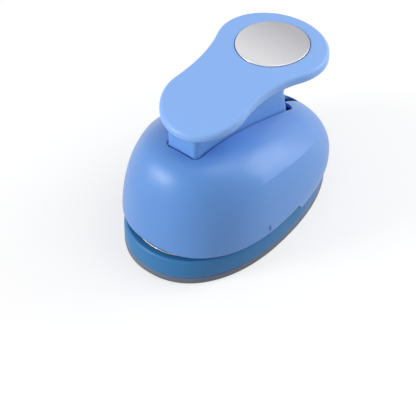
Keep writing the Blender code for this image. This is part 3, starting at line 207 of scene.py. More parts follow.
# %% [markdown]
# ## Shader groups that several finishes share
#
# Moulded plastic has a very fine grain from the mould, a slight unevenness of colour and edges that catch
# the light. An image texture could show that, but it would need a flat layout of each surface. Noise in
# the object's own space needs none and stays sharp at any distance. Each effect is one node group, so that
# every plastic or metal can use it with its own numbers.

# %% Helpers for node groups
GREY = (0.5, 0.5, 0.5, 1.0)
NOISE_ROUGHNESS = 0.55


def new_group(name, inputs, outputs):
    """An empty shader node group with named sockets."""
    tree = bpy.data.node_groups.new(name, "ShaderNodeTree")
    for label, value in inputs.items():
        kind = "NodeSocketFloat" if isinstance(value, float) else "NodeSocketColor"
        tree.interface.new_socket(label, in_out="INPUT", socket_type=kind).default_value = value
    for label in outputs:
        kind = "NodeSocketColor" if label == "Colour" else "NodeSocketFloat"
        tree.interface.new_socket(label, in_out="OUTPUT", socket_type=kind)
    return tree, tree.nodes.new("NodeGroupInput").outputs, tree.nodes.new("NodeGroupOutput")


def noise(tree, scale_source, factor, detail=2.0, stretch=(1.0, 1.0, 1.0)):
    """Noise in the object's own space; its scale is a group input times a factor."""
    place = add_node(tree, "TexCoord").outputs["Object"]
    mapping = add_node(tree, "Mapping", {"Vector": place, "Scale": stretch})
    return add_node(tree, "TexNoise", {
        "Vector": mapping.outputs[0], "Scale": maths(tree, "MULTIPLY", scale_source, factor),
        "Detail": detail, "Roughness": NOISE_ROUGHNESS}).outputs[0]


# %% Edge light: a mask for the outer edges of a piece
def make_edge_group():
    """A mask for the outer edges: a painted highlight where they catch the light, together with some wear."""
    tree, given, result = new_group("edge_light", {"Sharpness": 0.52, "Breakup": 60.0}, ["Mask"])
    pointiness = add_node(tree, "NewGeometry").outputs["Pointiness"]
    edge = spread(tree, pointiness, given["Sharpness"], 0.60, interpolation_type="SMOOTHSTEP")
    uneven = spread(tree, noise(tree, given["Breakup"], 1.0), 0.35, 0.65, 0.45, 1.0)
    feed(tree, result, {"Mask": maths(tree, "MULTIPLY", edge, uneven)})
    return tree


EDGE_LIGHT = make_edge_group()


# %% Moulded skin: colour, gloss and grain of a plastic surface
def make_moulded_group():
    """The grain and slight unevenness of an injection moulded surface."""
    tree, given, result = new_group(
        "moulded_skin",
        {"Colour": GREY, "Edge Colour": GREY, "Edge": 0.0, "Unevenness": 0.05, "Grain Scale": 1.0,
         "Roughness Low": 0.35, "Roughness High": 0.45}, ["Colour", "Roughness", "Height"])
    scale = given["Grain Scale"]
    clouds = noise(tree, scale, 35.0, 3.0)
    flow = noise(tree, scale, 9.0, 1.0, (1.0, 0.35, 1.0))
    centred = maths(tree, "SUBTRACT", maths(tree, "ADD", clouds, flow), 1.0)
    value = maths(tree, "ADD", maths(tree, "MULTIPLY", centred, given["Unevenness"]), 1.0)
    toned = add_node(tree, "HueSaturation", {"Color": given["Colour"], "Value": value}).outputs[0]
    gloss = spread(tree, noise(tree, scale, 60.0, 4.0), 0.35, 0.65, given["Roughness Low"],
                   given["Roughness High"])
    feed(tree, result, {"Colour": mixed(tree, given["Edge"], toned, given["Edge Colour"]), "Roughness": gloss,
                        "Height": noise(tree, scale, 2600.0)})
    return tree


MOULDED_SKIN = make_moulded_group()


# %% Metal skin: drawn lines, blasted grain and stains
def make_metal_group():
    """Fine lines along one direction on ground steel, or an even grain on a casting."""
    tree, given, result = new_group(
        "metal_skin",
        {"Colour": GREY, "Stain Colour": GREY, "Line Scale": 1.0, "Stain": 0.3, "Roughness Low": 0.25,
         "Roughness High": 0.45}, ["Colour", "Roughness", "Height"])
    lines = noise(tree, given["Line Scale"], 900.0, 3.0, (1.0, 0.04, 1.0))
    stain = spread(tree, noise(tree, given["Line Scale"], 70.0, 5.0), 0.50, 0.75)
    amount = maths(tree, "MULTIPLY", stain, given["Stain"])
    gloss = spread(tree, lines, 0.3, 0.7, given["Roughness Low"], given["Roughness High"])
    feed(tree, result, {"Colour": mixed(tree, amount, given["Colour"], given["Stain Colour"]),
                        "Roughness": gloss, "Height": lines})
    return tree


METAL_SKIN = make_metal_group()
print("groups:", [group.name for group in bpy.data.node_groups])

# %% [markdown]
# ## Finishes
#
# One function makes every plastic and one makes every metal. Each finish passes its own colours and
# numbers to the groups. Values that are the same all over, such as sheen and specular level, are set on the
# shader itself, because a game engine or viewer that reads the exported model looks for them there.

# %% Plastic and metal materials
PLASTIC_RELIEF, METAL_RELIEF = 0.0001, 0.00005
EDGE_BREAKUP, SHEEN_ROUGHNESS = 90.0, 0.45


def join_skin(tree, shader, skin, bump, relief):
    """Leads a skin group's outputs to the shader, its height through a bump node."""
    bumps = add_node(tree, "Bump", {"Strength": bump, "Distance": relief, "Height": skin["Height"]})
    feed(tree, shader, {"Base Color": skin["Colour"], "Roughness": skin["Roughness"],
                        "Normal": bumps.outputs["Normal"]})


def plastic(name, colour, edge_colour, gloss, unevenness=0.05, bump=0.12, specular=0.5, sheen=0.0,
            sharpness=0.515):
    """A moulded plastic whose edges take the edge colour, mostly lighter as a painted highlight; its fine grain can
    scatter light where it is seen aslant.
    """
    material, tree, shader = new_material(name)
    edge = add_node(tree, "Group", {"Sharpness": sharpness, "Breakup": EDGE_BREAKUP}, node_tree=EDGE_LIGHT)
    skin = add_node(tree, "Group", {
        "Colour": (*colour, 1.0), "Edge Colour": (*edge_colour, 1.0), "Edge": edge.outputs["Mask"],
        "Unevenness": unevenness, "Grain Scale": 1.0, "Roughness Low": gloss[0], "Roughness High": gloss[1]},
        node_tree=MOULDED_SKIN)
    join_skin(tree, shader, skin.outputs, bump, PLASTIC_RELIEF)
    feed(tree, shader, {"Specular IOR Level": specular, "Sheen Weight": sheen,
                        "Sheen Roughness": SHEEN_ROUGHNESS})
    return material


def painted_shade_along(tree, near, far, start, end):
    """A painted shade: a colour that changes evenly along the object's length between two places, lighter at the
    near one and darker at the far one.
    """
    split = add_node(tree, "SeparateXYZ", {0: add_node(tree, "TexCoord").outputs["Object"]})
    return mixed(tree, spread(tree, split.outputs["Y"], start, end), (*near, 1.0), (*far, 1.0))


def metal(name, colour, stain_colour, gloss, stain=0.3, bump=0.10, line_scale=1.0, metallic=1.0, painted_shade=None):
    """A metal with drawn lines and faint stains; a painted shade gives the colour at the far place and the places
    where the shade starts and ends.
    """
    material, tree, shader = new_material(name)
    plain_or_shaded_colour = painted_shade_along(tree, colour, *painted_shade) if painted_shade else (*colour, 1.0)
    skin = add_node(tree, "Group", {
        "Colour": plain_or_shaded_colour, "Stain Colour": (*stain_colour, 1.0), "Line Scale": line_scale,
        "Stain": stain, "Roughness Low": gloss[0], "Roughness High": gloss[1]}, node_tree=METAL_SKIN)
    join_skin(tree, shader, skin.outputs, bump, METAL_RELIEF)
    feed(tree, shader, {"Metallic": metallic})
    return material


FINISHES = {
    "shell_blue_plastic": plastic("housing_blue", (0.108, 0.293, 0.715), (0.13, 0.32, 0.74), (0.37, 0.45),
                                  sheen=0.36, sharpness=0.58),
    "lever_blue_plastic": plastic("lever_blue", (0.270, 0.485, 0.945), (0.24, 0.46, 0.92), (0.33, 0.42),
                                  specular=0.25),
    # Painted shade: the block's blue is set darker than the lever's, standing in for the shade under the lever's
    # overhang.
    "block_blue_plastic": plastic("block_blue", (0.158, 0.378, 0.835), (0.22, 0.45, 0.87), (0.36, 0.45),
                                  specular=0.35),
    "base_blue_plastic": plastic("base_blue", (0.035, 0.195, 0.460), (0.08, 0.27, 0.54), (0.40, 0.50),
                                 specular=0.35),
    "foot_grey_plastic": plastic("foot_grey", (0.135, 0.155, 0.210), (0.20, 0.22, 0.28), (0.50, 0.62),
                                 unevenness=0.10, bump=0.3),
    "white_slide_plastic": plastic("slide_white", (0.720, 0.720, 0.700), (0.78, 0.78, 0.76), (0.40, 0.50)),
    # The silver disc darkens towards its far end: painted shade, standing in for a darker reflection there.
    "disc_silver": metal("disc_silver", (0.74, 0.735, 0.76), (0.60, 0.60, 0.63), (0.30, 0.36), stain=0.20,
                         bump=0.04, metallic=0.6, painted_shade=((0.46, 0.46, 0.49), 0.0225, 0.0585)),
    "bright_steel": metal("bright_steel", (0.56, 0.57, 0.58), (0.42, 0.41, 0.40), (0.36, 0.50)),
    "dark_steel": metal("dark_steel", (0.25, 0.25, 0.26), (0.16, 0.15, 0.15), (0.34, 0.50)),
    "cast_alloy": metal("cast_alloy", (0.42, 0.43, 0.44), (0.33, 0.33, 0.33), (0.45, 0.60), stain=0.4,
                        bump=0.5, line_scale=0.6),
}
print("finishes:", ", ".join(FINISHES))

# %% [markdown]
# ## Building with rings
#
# Most pieces here are a skin over a row of rings: every ring has the same number of points, and
# neighbouring rings are joined by four-sided faces. Booleans would be quicker to write, but they leave
# long thin faces that shine unevenly on glossy plastic. Rings give full control of the edges.

# %% Mesh helpers
WELD_DISTANCE = 2e-6


def mend(mesh, weld=0.0, bevel=0.0):
    """Joins points that coincide, turns all faces outwards and rounds every edge, as far as asked."""
    tool = bmesh.new()
    tool.from_mesh(mesh)
    if weld:
        bmesh.ops.remove_doubles(tool, verts=tool.verts, dist=weld)
    bmesh.ops.recalc_face_normals(tool, faces=tool.faces)
    if bevel:
        bmesh.ops.bevel(tool, geom=tool.edges[:], offset=bevel, segments=3, affect="EDGES")
    tool.to_mesh(mesh)
    tool.free()


def skin_mesh(*skins):
    """A mesh of rows of rings: a row that ends with its first ring runs round, any other gets two caps."""
    vertices, faces = [], []
    for rings in skins:
        runs_round = rings[0] is rings[-1]
        own = rings[:-1] if runs_round else rings
        first, points = len(vertices), len(own[0])
        vertices += [tuple(map(float, point)) for ring in own for point in ring]
        for row in range(len(rings) - 1):
            low, high = first + row * points, first + (row + 1) % len(own) * points
            for i in range(points):
                j = (i + 1) % points
                faces.append((low + i, low + j, high + j, high + i))
        if not runs_round:
            faces += [range(first, first + points), range(len(vertices) - points, len(vertices))]
    mesh = bpy.data.meshes.new("skin")
    mesh.from_pydata(vertices, [], faces)
    return mesh


def smooth(mesh, degrees):
    """Smooth shading, with a sharp edge where faces meet at a larger angle."""
    mesh.shade_smooth()
    mesh.set_sharp_from_angle(angle=math.radians(degrees))


def finish_piece(name, mesh, finish, body, node=None, sharp_degrees=40.0):
    """Turns a mesh into a piece with a material, on a body, in place of a CAD node."""
    mesh.name = name
    mend(mesh, weld=WELD_DISTANCE)
    smooth(mesh, sharp_degrees)
    piece = add_object(name, mesh)
    mesh.materials.append(FINISHES[finish])
    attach(piece, body)
    if node:
        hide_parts(node)
    return piece


# %% Helpers for rings
SOFT = 0.3
SAME_PLACE = 1e-9


def between(start, end, share):
    """A place, or a whole ring, part of the way from one to another."""
    return start + share * (end - start)


def with_height(plan, height):
    """Plan points with their heights, or with one height for all."""
    return np.column_stack([plan, np.broadcast_to(height, len(plan))])


def arc_points(centre, radius, start, end, steps):
    """Points on an arc in a plane, angles in degrees."""
    angles = np.radians(np.linspace(start, end, steps + 1))
    return np.column_stack([centre[0] + radius * np.cos(angles), centre[1] + radius * np.sin(angles)])


def quarter_round(radius, degrees):
    """How far in and how far down each step round a small edge lies."""
    return [(radius * (1 - math.cos(a)), radius * (1 - math.sin(a))) for a in np.radians(degrees)]


def box_rings(xs, ys, zs):
    """A plain box between two places along each axis."""
    return [[(x, y, z) for x, y in ((xs[0], ys[0]), (xs[1], ys[0]), (xs[1], ys[1]), (xs[0], ys[1]))] for z in zs]


def on_both_sides(*places):
    """Each place on the left and then on the right."""
    return tuple((side * x, y) for x, y in places for side in (-1, 1))


def lathe_rings(profile, place, points, lies_across=False):
    """A (radius, height) outline turned round an upright axis, or round one that runs across."""
    turns = np.linspace(0, 2 * math.pi, points, endpoint=False)
    circle = np.column_stack([np.cos(turns), np.sin(turns)])
    rings = [with_height(np.array(place) + radius * circle, along) for radius, along in profile]
    return [ring[:, [2, 0, 1]] for ring in rings] if lies_across else rings


def tube_outline(outer, inner, low, high):
    """The four corners of a tube's wall."""
    return (outer, low), (outer, high), (inner, high), (inner, low)


# %% [markdown]
# ## Housing
#
# The dome is egg-shaped in plan, blunt at the front, and its roof falls towards the back. A soft crease
# runs along each flank. The lever's slot is cut through the roof, so the rings start at the slot's edge
# and spread out to the wall: that way the slot's small round edge is made of the same clean faces.

# %% Housing: plan, roof and crease
WIDEST_Y = -0.006
MIDDLE = np.array([0.0, WIDEST_Y])
SHELL_SIZES = (0.0480, 0.0643, 0.0797, 2.36, 2.24)
SHELL_HALF_WIDTH, SHELL_FRONT, SHELL_REAR, SHELL_FRONT_POWER, SHELL_REAR_POWER = SHELL_SIZES
SHELL_EDGE, SHELL_REAR_EDGE = 0.0212, 0.0176
THROAT_BACK_Y, THROAT_CORNER, THROAT_MARGIN = 0.008, 0.0025, 1e-5
SHELL_WALL = 0.0025
ROOF = (0.0643, -0.2886, 1.205, 16.7)
ROOF_BOW, BOW_Y, BOW_REACH, BOW_POWER = 0.0029, -0.005, 0.042, 4
SHOULDER_YS = (-0.070, 0.074)
SHOULDER_POWERS, SHOULDER_ROOTS = (5.42, 2.91), (1.62, 1.38)
CREASE_START, CREASE_FRACTION, CREASE_DRIFT, CREASE_LAST = 0.66, 0.845, 0.12, 0.95
CREASE_LIFT, CREASE_WALL_POWER, CREASE_FULLNESS = 0.08, 1.3, 1.6
CREASE_ANGLES = (math.radians(-42), math.radians(62))


def egg_point(turn, inset=0.0, sizes=SHELL_SIZES):
    """Points of an egg-shaped plan outline at the given turns, moved inwards by an inset."""
    half, front, rear, front_power, rear_power = sizes
    across, along = np.cos(turn), np.sin(turn)
    power = 2 / np.where(along < 0, front_power, rear_power)
    length = np.where(along < 0, front, rear) - inset
    x = (half - inset) * np.sign(across) * np.abs(across) ** power
    y = WIDEST_Y + length * np.sign(along) * np.abs(along) ** power
    return np.column_stack([x, y])


def plan_place(points, inset=0.0):
    """How far out each plan point lies, from 0 at the middle to 1 at the wall, and its turn."""
    x, y = points[:, 0], points[:, 1] - WIDEST_Y
    power = np.where(y < 0, SHELL_FRONT_POWER, SHELL_REAR_POWER)
    length = np.where(y < 0, SHELL_FRONT, SHELL_REAR) - inset
    a = (np.abs(x) / (SHELL_HALF_WIDTH - inset)) ** power
    b = (np.abs(y) / length) ** power
    turn = np.arctan2(np.sqrt(b) * np.sign(y), np.sqrt(a))
    return (a + b) ** (1 / power), turn


def crease_span(turn):
    """How far a direction lies along the crease, from 0 at its front to 1 at its rear end."""
    return np.clip((turn - CREASE_ANGLES[0]) / (CREASE_ANGLES[1] - CREASE_ANGLES[0]), 0, 1)


def crease_line(turn):
    """Where the crease runs: nearer to the wall at its two ends."""
    return np.minimum(CREASE_LAST, CREASE_FRACTION + CREASE_DRIFT * (2 * crease_span(turn) - 1) ** 2)


def dome_height(points, inset=0.0):
    """Height of the dome over each plan point."""
    fraction, turn = plan_place(points, inset)
    fraction = np.minimum(fraction, 1.0)
    y = points[:, 1]
    roof = ROOF[0] + ROOF[1] * y + ROOF[2] * y ** 2 + ROOF[3] * y ** 3 - inset
    power = np.interp(y, SHOULDER_YS, SHOULDER_POWERS)
    rounded = (1 - fraction ** power) ** (1 / np.interp(y, SHOULDER_YS, SHOULDER_ROOTS))
    line = crease_line(turn)
    rise = np.clip((fraction - CREASE_START) / (line - CREASE_START), 0, 1) ** 2
    fall = np.clip((1 - fraction) / (1 - line), 0, 1) ** CREASE_WALL_POWER
    weight = np.minimum(1.0, CREASE_FULLNESS * np.sin(np.pi * crease_span(turn)) ** 2)
    lift = CREASE_LIFT * weight * np.where(fraction < line, rise, fall)
    bow_along = np.clip(1 - ((y - BOW_Y) / BOW_REACH) ** 2, 0, 1) ** 2
    bow_across = np.clip(1 - (fraction / CREASE_FRACTION) ** BOW_POWER, 0, 1)
    return SHELL_EDGE + (roof - SHELL_EDGE) * (rounded + lift) + ROOF_BOW * bow_along * bow_across


def on_dome(plan, inset=0.0, drop=0.0):
    """A ring on the dome, or inside it."""
    return with_height(plan, dome_height(plan, inset) - drop)


# %% Housing: the slot for the lever's block
SLOT_HALF_WIDTH, SLOT_FRONT_Y, SLOT_BACK_Y, SLOT_CORNER = 0.0115, -0.0439, 0.0485, 0.0039
TAIL_HALF_WIDTH, TAIL_BACK_Y, TAIL_CORNER = 0.0040, 0.0645, 0.0006
SLOT_EDGE_RADIUS = 0.0005
SLOT_KEY_DEGREES = (-90, -55, 0, 52, 66, 78, 90)
DIRECTION_STEP = 0.0002


def slot_outline():
    """Right half of the slot from front to back: plan points and the length up to each."""
    near, far = SLOT_HALF_WIDTH - SLOT_CORNER, TAIL_HALF_WIDTH + TAIL_CORNER
    points = np.vstack([
        [(0.0, SLOT_FRONT_Y), (near, SLOT_FRONT_Y)],
        arc_points((near, SLOT_FRONT_Y + SLOT_CORNER), SLOT_CORNER, -90, 0, 14),
        arc_points((near, SLOT_BACK_Y - SLOT_CORNER), SLOT_CORNER, 0, 90, 14),
        arc_points((far, SLOT_BACK_Y + TAIL_CORNER), TAIL_CORNER, 270, 180, 6),
        arc_points((0.0, TAIL_BACK_Y - TAIL_HALF_WIDTH), TAIL_HALF_WIDTH, 0, 90, 10)])
    steps = np.hypot(*np.diff(points, axis=0).T)
    length = np.concatenate([[0.0], np.cumsum(steps)])
    keep = np.concatenate([[True], steps > SAME_PLACE])
    return points[keep], length[keep]


def slot_points(turns):
    """Slot points and outward directions that belong to turns round the dome."""
    points, length = slot_outline()
    corner = SLOT_CORNER * math.pi / 2
    near = SLOT_HALF_WIDTH - SLOT_CORNER
    side_start = near + corner
    side_end = side_start + SLOT_BACK_Y - SLOT_FRONT_Y - 2 * SLOT_CORNER
    tail_start = side_end + corner + near - TAIL_HALF_WIDTH
    tail_end = length[-1] - TAIL_HALF_WIDTH * math.pi / 2
    middle = side_start + (WIDEST_Y - SLOT_FRONT_Y - SLOT_CORNER)
    keys = [0.0, near + corner / 2, middle, side_end, tail_start, tail_end, length[-1]]
    at = np.interp(turns, np.radians(SLOT_KEY_DEGREES), keys)

    def place(s):
        return np.column_stack([np.interp(s, length, column) for column in points.T])

    along = place(np.minimum(at + DIRECTION_STEP, length[-1])) - place(np.maximum(at - DIRECTION_STEP, 0))
    along /= np.hypot(*along.T)[:, None]
    return place(at), np.column_stack([along[:, 1], -along[:, 0]])


def mirrored(right):
    """Adds the left half, so that the points run once round."""
    return np.vstack([right, right[-2:0:-1] * (-1, 1)])


# %% Housing: turns of the rings and the lower edge
EVEN_TURNS = (-90, 90, 150)
CORNER_TURNS = ((-66, -44, 18), (50, 80, 40))
NOTCH_YS = (0.0053, 0.0059, 0.0065, 0.0070, 0.0074, 0.0077, 0.0079, 0.00797, 0.0080, 0.00802)
CROWDED_DEGREES = 0.05


def shell_turns():
    """Turns of the right half, closer together at the throat's corner and at the slot's corners."""
    notch = ((np.array(NOTCH_YS) - WIDEST_Y) / SHELL_REAR) ** (SHELL_REAR_POWER / 2)
    notch = np.round(np.degrees(np.arcsin(notch)), 4)
    regular = [np.round(np.linspace(*row), 4) for row in (EVEN_TURNS, *CORNER_TURNS)]
    turns = np.unique(np.concatenate([*regular, notch]))
    crowded = np.concatenate([[False], np.diff(turns) < CROWDED_DEGREES])
    return np.radians(turns[~crowded | np.isin(turns, notch)])


def lower_edge(y):
    """Height of the housing's lower edge: raised in front, where the throat is, with a round corner."""
    over = np.clip(y - (THROAT_BACK_Y - THROAT_CORNER), 0, THROAT_CORNER)
    curve = SHELL_EDGE - THROAT_CORNER + np.sqrt(THROAT_CORNER ** 2 - over ** 2)
    return np.where(y > THROAT_BACK_Y + THROAT_MARGIN, SHELL_REAR_EDGE, curve)


print("slot:", len(slot_outline()[0]), "points; dome:", len(shell_turns()), "turns on each side")

# %% Housing: the rings of the shell
CREASE_RING_STEPS = (-0.009, -0.005, -0.0025, 0.0, 0.0025, 0.005, 0.010)
SHOULDER_RINGS, LAST_SHOULDER_ANGLE = 26, 0.024
MEAN_SHOULDER_POWER = 4.2
ROOF_RINGS = 24
LOWER_EDGE_RADIUS = 0.0004
INNER_LEVELS = (0.9995, 0.995, 0.985, 0.97, 0.95, 0.925, 0.90)
INNER_RINGS = 12


def dome_levels(line):
    """Fractions of the dome's rings from the crease out to the wall, for every point of a ring."""
    levels = [line + step for step in CREASE_RING_STEPS]
    start = np.arccos(levels[-1] ** (MEAN_SHOULDER_POWER / 2))
    for share in np.linspace(0, 1, SHOULDER_RINGS)[1:]:
        levels.append(np.cos(between(start, LAST_SHOULDER_ANGLE, share)) ** (2 / MEAN_SHOULDER_POWER))
    return levels


def outer_rings(turns):
    """Rings of the outer face, from inside the slot over its edge and the dome down to the wall."""
    slot, out = (mirrored(part) for part in slot_points(turns))
    wall = mirrored(egg_point(turns))
    rings = [on_dome(slot + out * inwards, drop=down)
             for inwards, down in quarter_round(SLOT_EDGE_RADIUS, (0, 22.5, 45, 67.5, 90))]
    start = slot + out * SLOT_EDGE_RADIUS
    shoulder = [between(MIDDLE, wall, level[:, None]) for level in dome_levels(crease_line(plan_place(wall)[1]))]
    roof = [between(start, shoulder[0], share) for share in np.linspace(0, 1, ROOF_RINGS)[1:-1]]
    return rings + [on_dome(plan) for plan in roof + shoulder], slot, wall


def edge_rings(turns, wall, last_height):
    """Rings down the wall, round the lower edge and up the inside."""
    low = lower_edge(wall[:, 1])
    rings = [with_height(wall, between(last_height, low + LOWER_EDGE_RADIUS, share)) for share in (0.33, 0.67, 1.0)]
    soft = SOFT * LOWER_EDGE_RADIUS
    for inset, lift in ((soft, soft), (LOWER_EDGE_RADIUS, 0), (SHELL_WALL, 0)):
        plan = mirrored(egg_point(turns, inset))
        rings.append(with_height(plan, low + lift))
    return rings, plan


def inner_rings(inner_wall, slot):
    """Rings of the inner face, from the wall up under the roof to the slot."""
    plans = [between(MIDDLE, inner_wall, level) for level in INNER_LEVELS]
    plans += [between(plans[-1], slot, share) for share in np.linspace(0, 1, INNER_RINGS)[1:]]
    return [on_dome(plan, SHELL_WALL) for plan in plans]


# %% Housing: the shell and its marks
PADS = (((0.0255, 0.0372), (0.0395, 0.0475), (0.0183, 0.0250)),
        ((0.0325, 0.0429), (-0.0395, -0.0325), (0.0231, 0.0290)))
TICK_Y, TICK_HEIGHTS, TICK_HALF_WIDTH, TICK_PROUD, TICK_BEVEL = -0.0206, (0.0235, 0.0272), 0.0006, 0.0005, 0.0003


def make_shell():
    """The blue housing, closed all round like the real moulding, with the pads that its screws go into."""
    turns = shell_turns()
    outside, slot, wall = outer_rings(turns)
    lower, inner_wall = edge_rings(turns, wall, outside[-1][:, 2])
    rings = outside + lower + inner_rings(inner_wall, slot)
    pads = [box_rings((side * near, side * far), ys, zs) for (near, far), ys, zs in PADS for side in (-1, 1)]
    mesh = skin_mesh(rings + rings[:1], *pads)
    finish_piece("housing_shell", mesh, "shell_blue_plastic", "housing", "upper_shell")
    print("housing:", len(mesh.polygons), "faces,", len(outside), "rings outside")


def make_ticks():
    """A small upright mark on each wall, level with the middle of the cut circle."""
    share = (abs(TICK_Y - WIDEST_Y) / SHELL_FRONT) ** SHELL_FRONT_POWER
    wall = SHELL_HALF_WIDTH * (1 - share) ** (1 / SHELL_FRONT_POWER)
    for side, name in ((-1, "left"), (1, "right")):
        mesh = skin_mesh(box_rings((side * (wall - SHELL_WALL / 2), side * (wall + TICK_PROUD)),
                                   (TICK_Y - TICK_HALF_WIDTH, TICK_Y + TICK_HALF_WIDTH), TICK_HEIGHTS))
        mend(mesh, bevel=TICK_BEVEL)
        finish_piece(f"centre_mark_{name}", mesh, "shell_blue_plastic", "housing")
    print(f"centre marks: {1000 * wall:.1f} mm from the middle")


make_shell()
make_ticks()

# %% [markdown]
# ## Lever plate
#
# The lever is pressed at its wide end. Its outline is two round ends joined by hollow arcs. The top is
# arched from front to back and rolls over a soft edge into a low rim. The rings of the top start at the
# round pocket for the disc, so the pocket needs no Boolean either.

# %% Lever plate: outline and arch
LEVER_TOP, LEVER_ARCH, LEVER_ARCH_EASE = 0.1007, 2.65, 14.0
LEVER_FRONT = (0.0255, -0.0217)
LEVER_BACK = (0.0329, 0.0404)
LEVER_WAIST_RADIUS = 0.0790
LEVER_STEPS = (96, 30, 80, 30)
LEVER_RIM, LEVER_FRONT_RIM, LEVER_RIM_START_Y = 0.0062, 0.0043, -0.005
LEVER_EDGE, LEVER_SKIN, LEVER_WALL, RIM_EDGE, UNDER_EDGE = 0.0024, 0.0028, 0.0026, 0.0006, 0.0006
DISC_Y, DISC_STRETCH, POCKET_RADIUS, POCKET_DEPTH = 0.0405, 1.13, 0.0210, 0.0015
POCKET_EDGE = 0.0003


def lever_top(y):
    """Height of the lever's arched top."""
    return LEVER_TOP - LEVER_ARCH * y ** 2 + LEVER_ARCH_EASE * y ** 3


def lever_outline():
    """Plan points round the lever with their outward directions: back end, waist, front end, waist."""
    to_front, to_back = LEVER_WAIST_RADIUS + LEVER_FRONT[0], LEVER_WAIST_RADIUS + LEVER_BACK[0]
    length = LEVER_BACK[1] - LEVER_FRONT[1]
    along = (to_front ** 2 - to_back ** 2 + length ** 2) / (2 * length)
    x, y = math.sqrt(to_front ** 2 - along ** 2), LEVER_FRONT[1] + along
    back, front = (math.atan2(y - end[1], x) for end in (LEVER_BACK, LEVER_FRONT))
    arcs = ((1, (0.0, LEVER_BACK[1]), LEVER_BACK[0], back, math.pi - back),
            (-1, (-x, y), -LEVER_WAIST_RADIUS, back, front),
            (1, (0.0, LEVER_FRONT[1]), LEVER_FRONT[0], math.pi - front, 2 * math.pi + front),
            (1, (x, y), -LEVER_WAIST_RADIUS, front, back))
    points, outward = [], []
    for (side, centre, radius, start, end), steps in zip(arcs, LEVER_STEPS):
        a = np.linspace(start, end, steps, endpoint=False)
        outward.append(np.column_stack([side * np.cos(a), np.sin(a)]))
        points.append(centre + radius * outward[-1])
    return np.vstack(points), np.vstack(outward)


def oval(radius, directions):
    """Points of the disc's slightly long outline in the given directions from its middle."""
    x, y = np.cos(directions), np.sin(directions)
    reach = radius / np.sqrt(x ** 2 + (y / DISC_STRETCH) ** 2)
    return np.column_stack([x * reach, DISC_Y + y * reach])


def lever_band(plan, drop):
    """A ring under the arch."""
    return with_height(plan, lever_top(plan[:, 1]) - drop)


print("lever outline:", len(lever_outline()[0]), "points")

# %% Lever plate: the moulding with its ribs
RIB_BOTTOM, RIB_TOP, RIB_HALF_WIDTH, RIB_GAP = 0.0050, 0.0026, 0.0008, 0.001
BACK_RIB_YS, SIDE_RIB_YS = (0.052, 0.061), (-0.020, 0.004, 0.028)
BLOCK_HALF_WIDTH = 0.0106


def rim_depth(plan):
    """Depth of the rim, which is lower towards the front end."""
    front_end = LEVER_FRONT[1] - LEVER_FRONT[0]
    share = (LEVER_RIM_START_Y - plan[:, 1]) / (LEVER_RIM_START_Y - front_end)
    return between(LEVER_RIM, LEVER_FRONT_RIM, np.clip(share, 0, 1))


def rib_boxes(outline):
    """Stiffening ribs under the plate: right across behind the block, and on both sides of it."""
    right = outline[outline[:, 0] > 0]
    right = right[np.argsort(right[:, 1])]
    near = BLOCK_HALF_WIDTH + RIB_GAP
    boxes = []
    for y in BACK_RIB_YS + SIDE_RIB_YS:
        end = float(np.interp(y, right[:, 1], right[:, 0])) - LEVER_WALL
        for span in ([(-end, end)] if y in BACK_RIB_YS else [(-end, -near), (near, end)]):
            boxes.append(box_rings(span, (y - RIB_HALF_WIDTH, y + RIB_HALF_WIDTH),
                                   (lever_top(y) - RIB_BOTTOM, lever_top(y) - RIB_TOP)))
    return boxes


def make_lever_plate():
    """Top, rolled edge, rim and underside, and the pocket for the disc."""
    outline, out = lever_outline()
    middle = np.array([0.0, DISC_Y])
    directions = np.arctan2(outline[:, 1] - DISC_Y, outline[:, 0])
    pocket, pocket_edge = oval(POCKET_RADIUS, directions), oval(POCKET_RADIUS + POCKET_EDGE, directions)
    inner, depth = outline - out * LEVER_WALL, rim_depth(outline)
    bands = [(between(middle, pocket, share), POCKET_DEPTH) for share in (0.02, 0.35, 0.7, 0.96, 1.0)]
    bands += [(pocket, POCKET_EDGE), (oval(POCKET_RADIUS + SOFT * POCKET_EDGE, directions), SOFT * POCKET_EDGE)]
    bands += [(between(pocket_edge, outline - out * LEVER_EDGE, share), 0.0)
              for share in np.linspace(0, 1, 30) ** 0.9]
    bands += [(outline - out * inwards, down)
              for inwards, down in quarter_round(LEVER_EDGE, np.linspace(90, 0, 10)[1:])]
    bands += [(outline, between(LEVER_EDGE, depth - RIM_EDGE, share)) for share in (0.3, 0.65, 1.0)]
    bands += [(outline - out * SOFT * RIM_EDGE, depth - SOFT * RIM_EDGE), (outline - out * RIM_EDGE, depth),
              (inner, depth), (inner, LEVER_SKIN + UNDER_EDGE), (inner - out * UNDER_EDGE, LEVER_SKIN)]
    bands += [(between(middle, inner, share), LEVER_SKIN) for share in (0.8, 0.6, 0.4, 0.2, 0.02)]
    mesh = skin_mesh([lever_band(plan, drop) for plan, drop in bands], *rib_boxes(outline))
    finish_piece("lever_cover", mesh, "lever_blue_plastic", "lever", "lever_plate")
    print("lever plate:", len(mesh.polygons), "faces")


make_lever_plate()

# %% [markdown]
# ## Disc in the lever
#
# A thin silver disc sits in the pocket, bent to the same arch, with a bright rolled edge. It carries
# nothing. Rings in the disc's own outline give it an even rounded edge.

# %% Disc
DISC_RADIUS, DISC_PROUD, DISC_ROLL, DISC_CLEARANCE = 0.0206, 0.0005, 0.0005, 0.0003


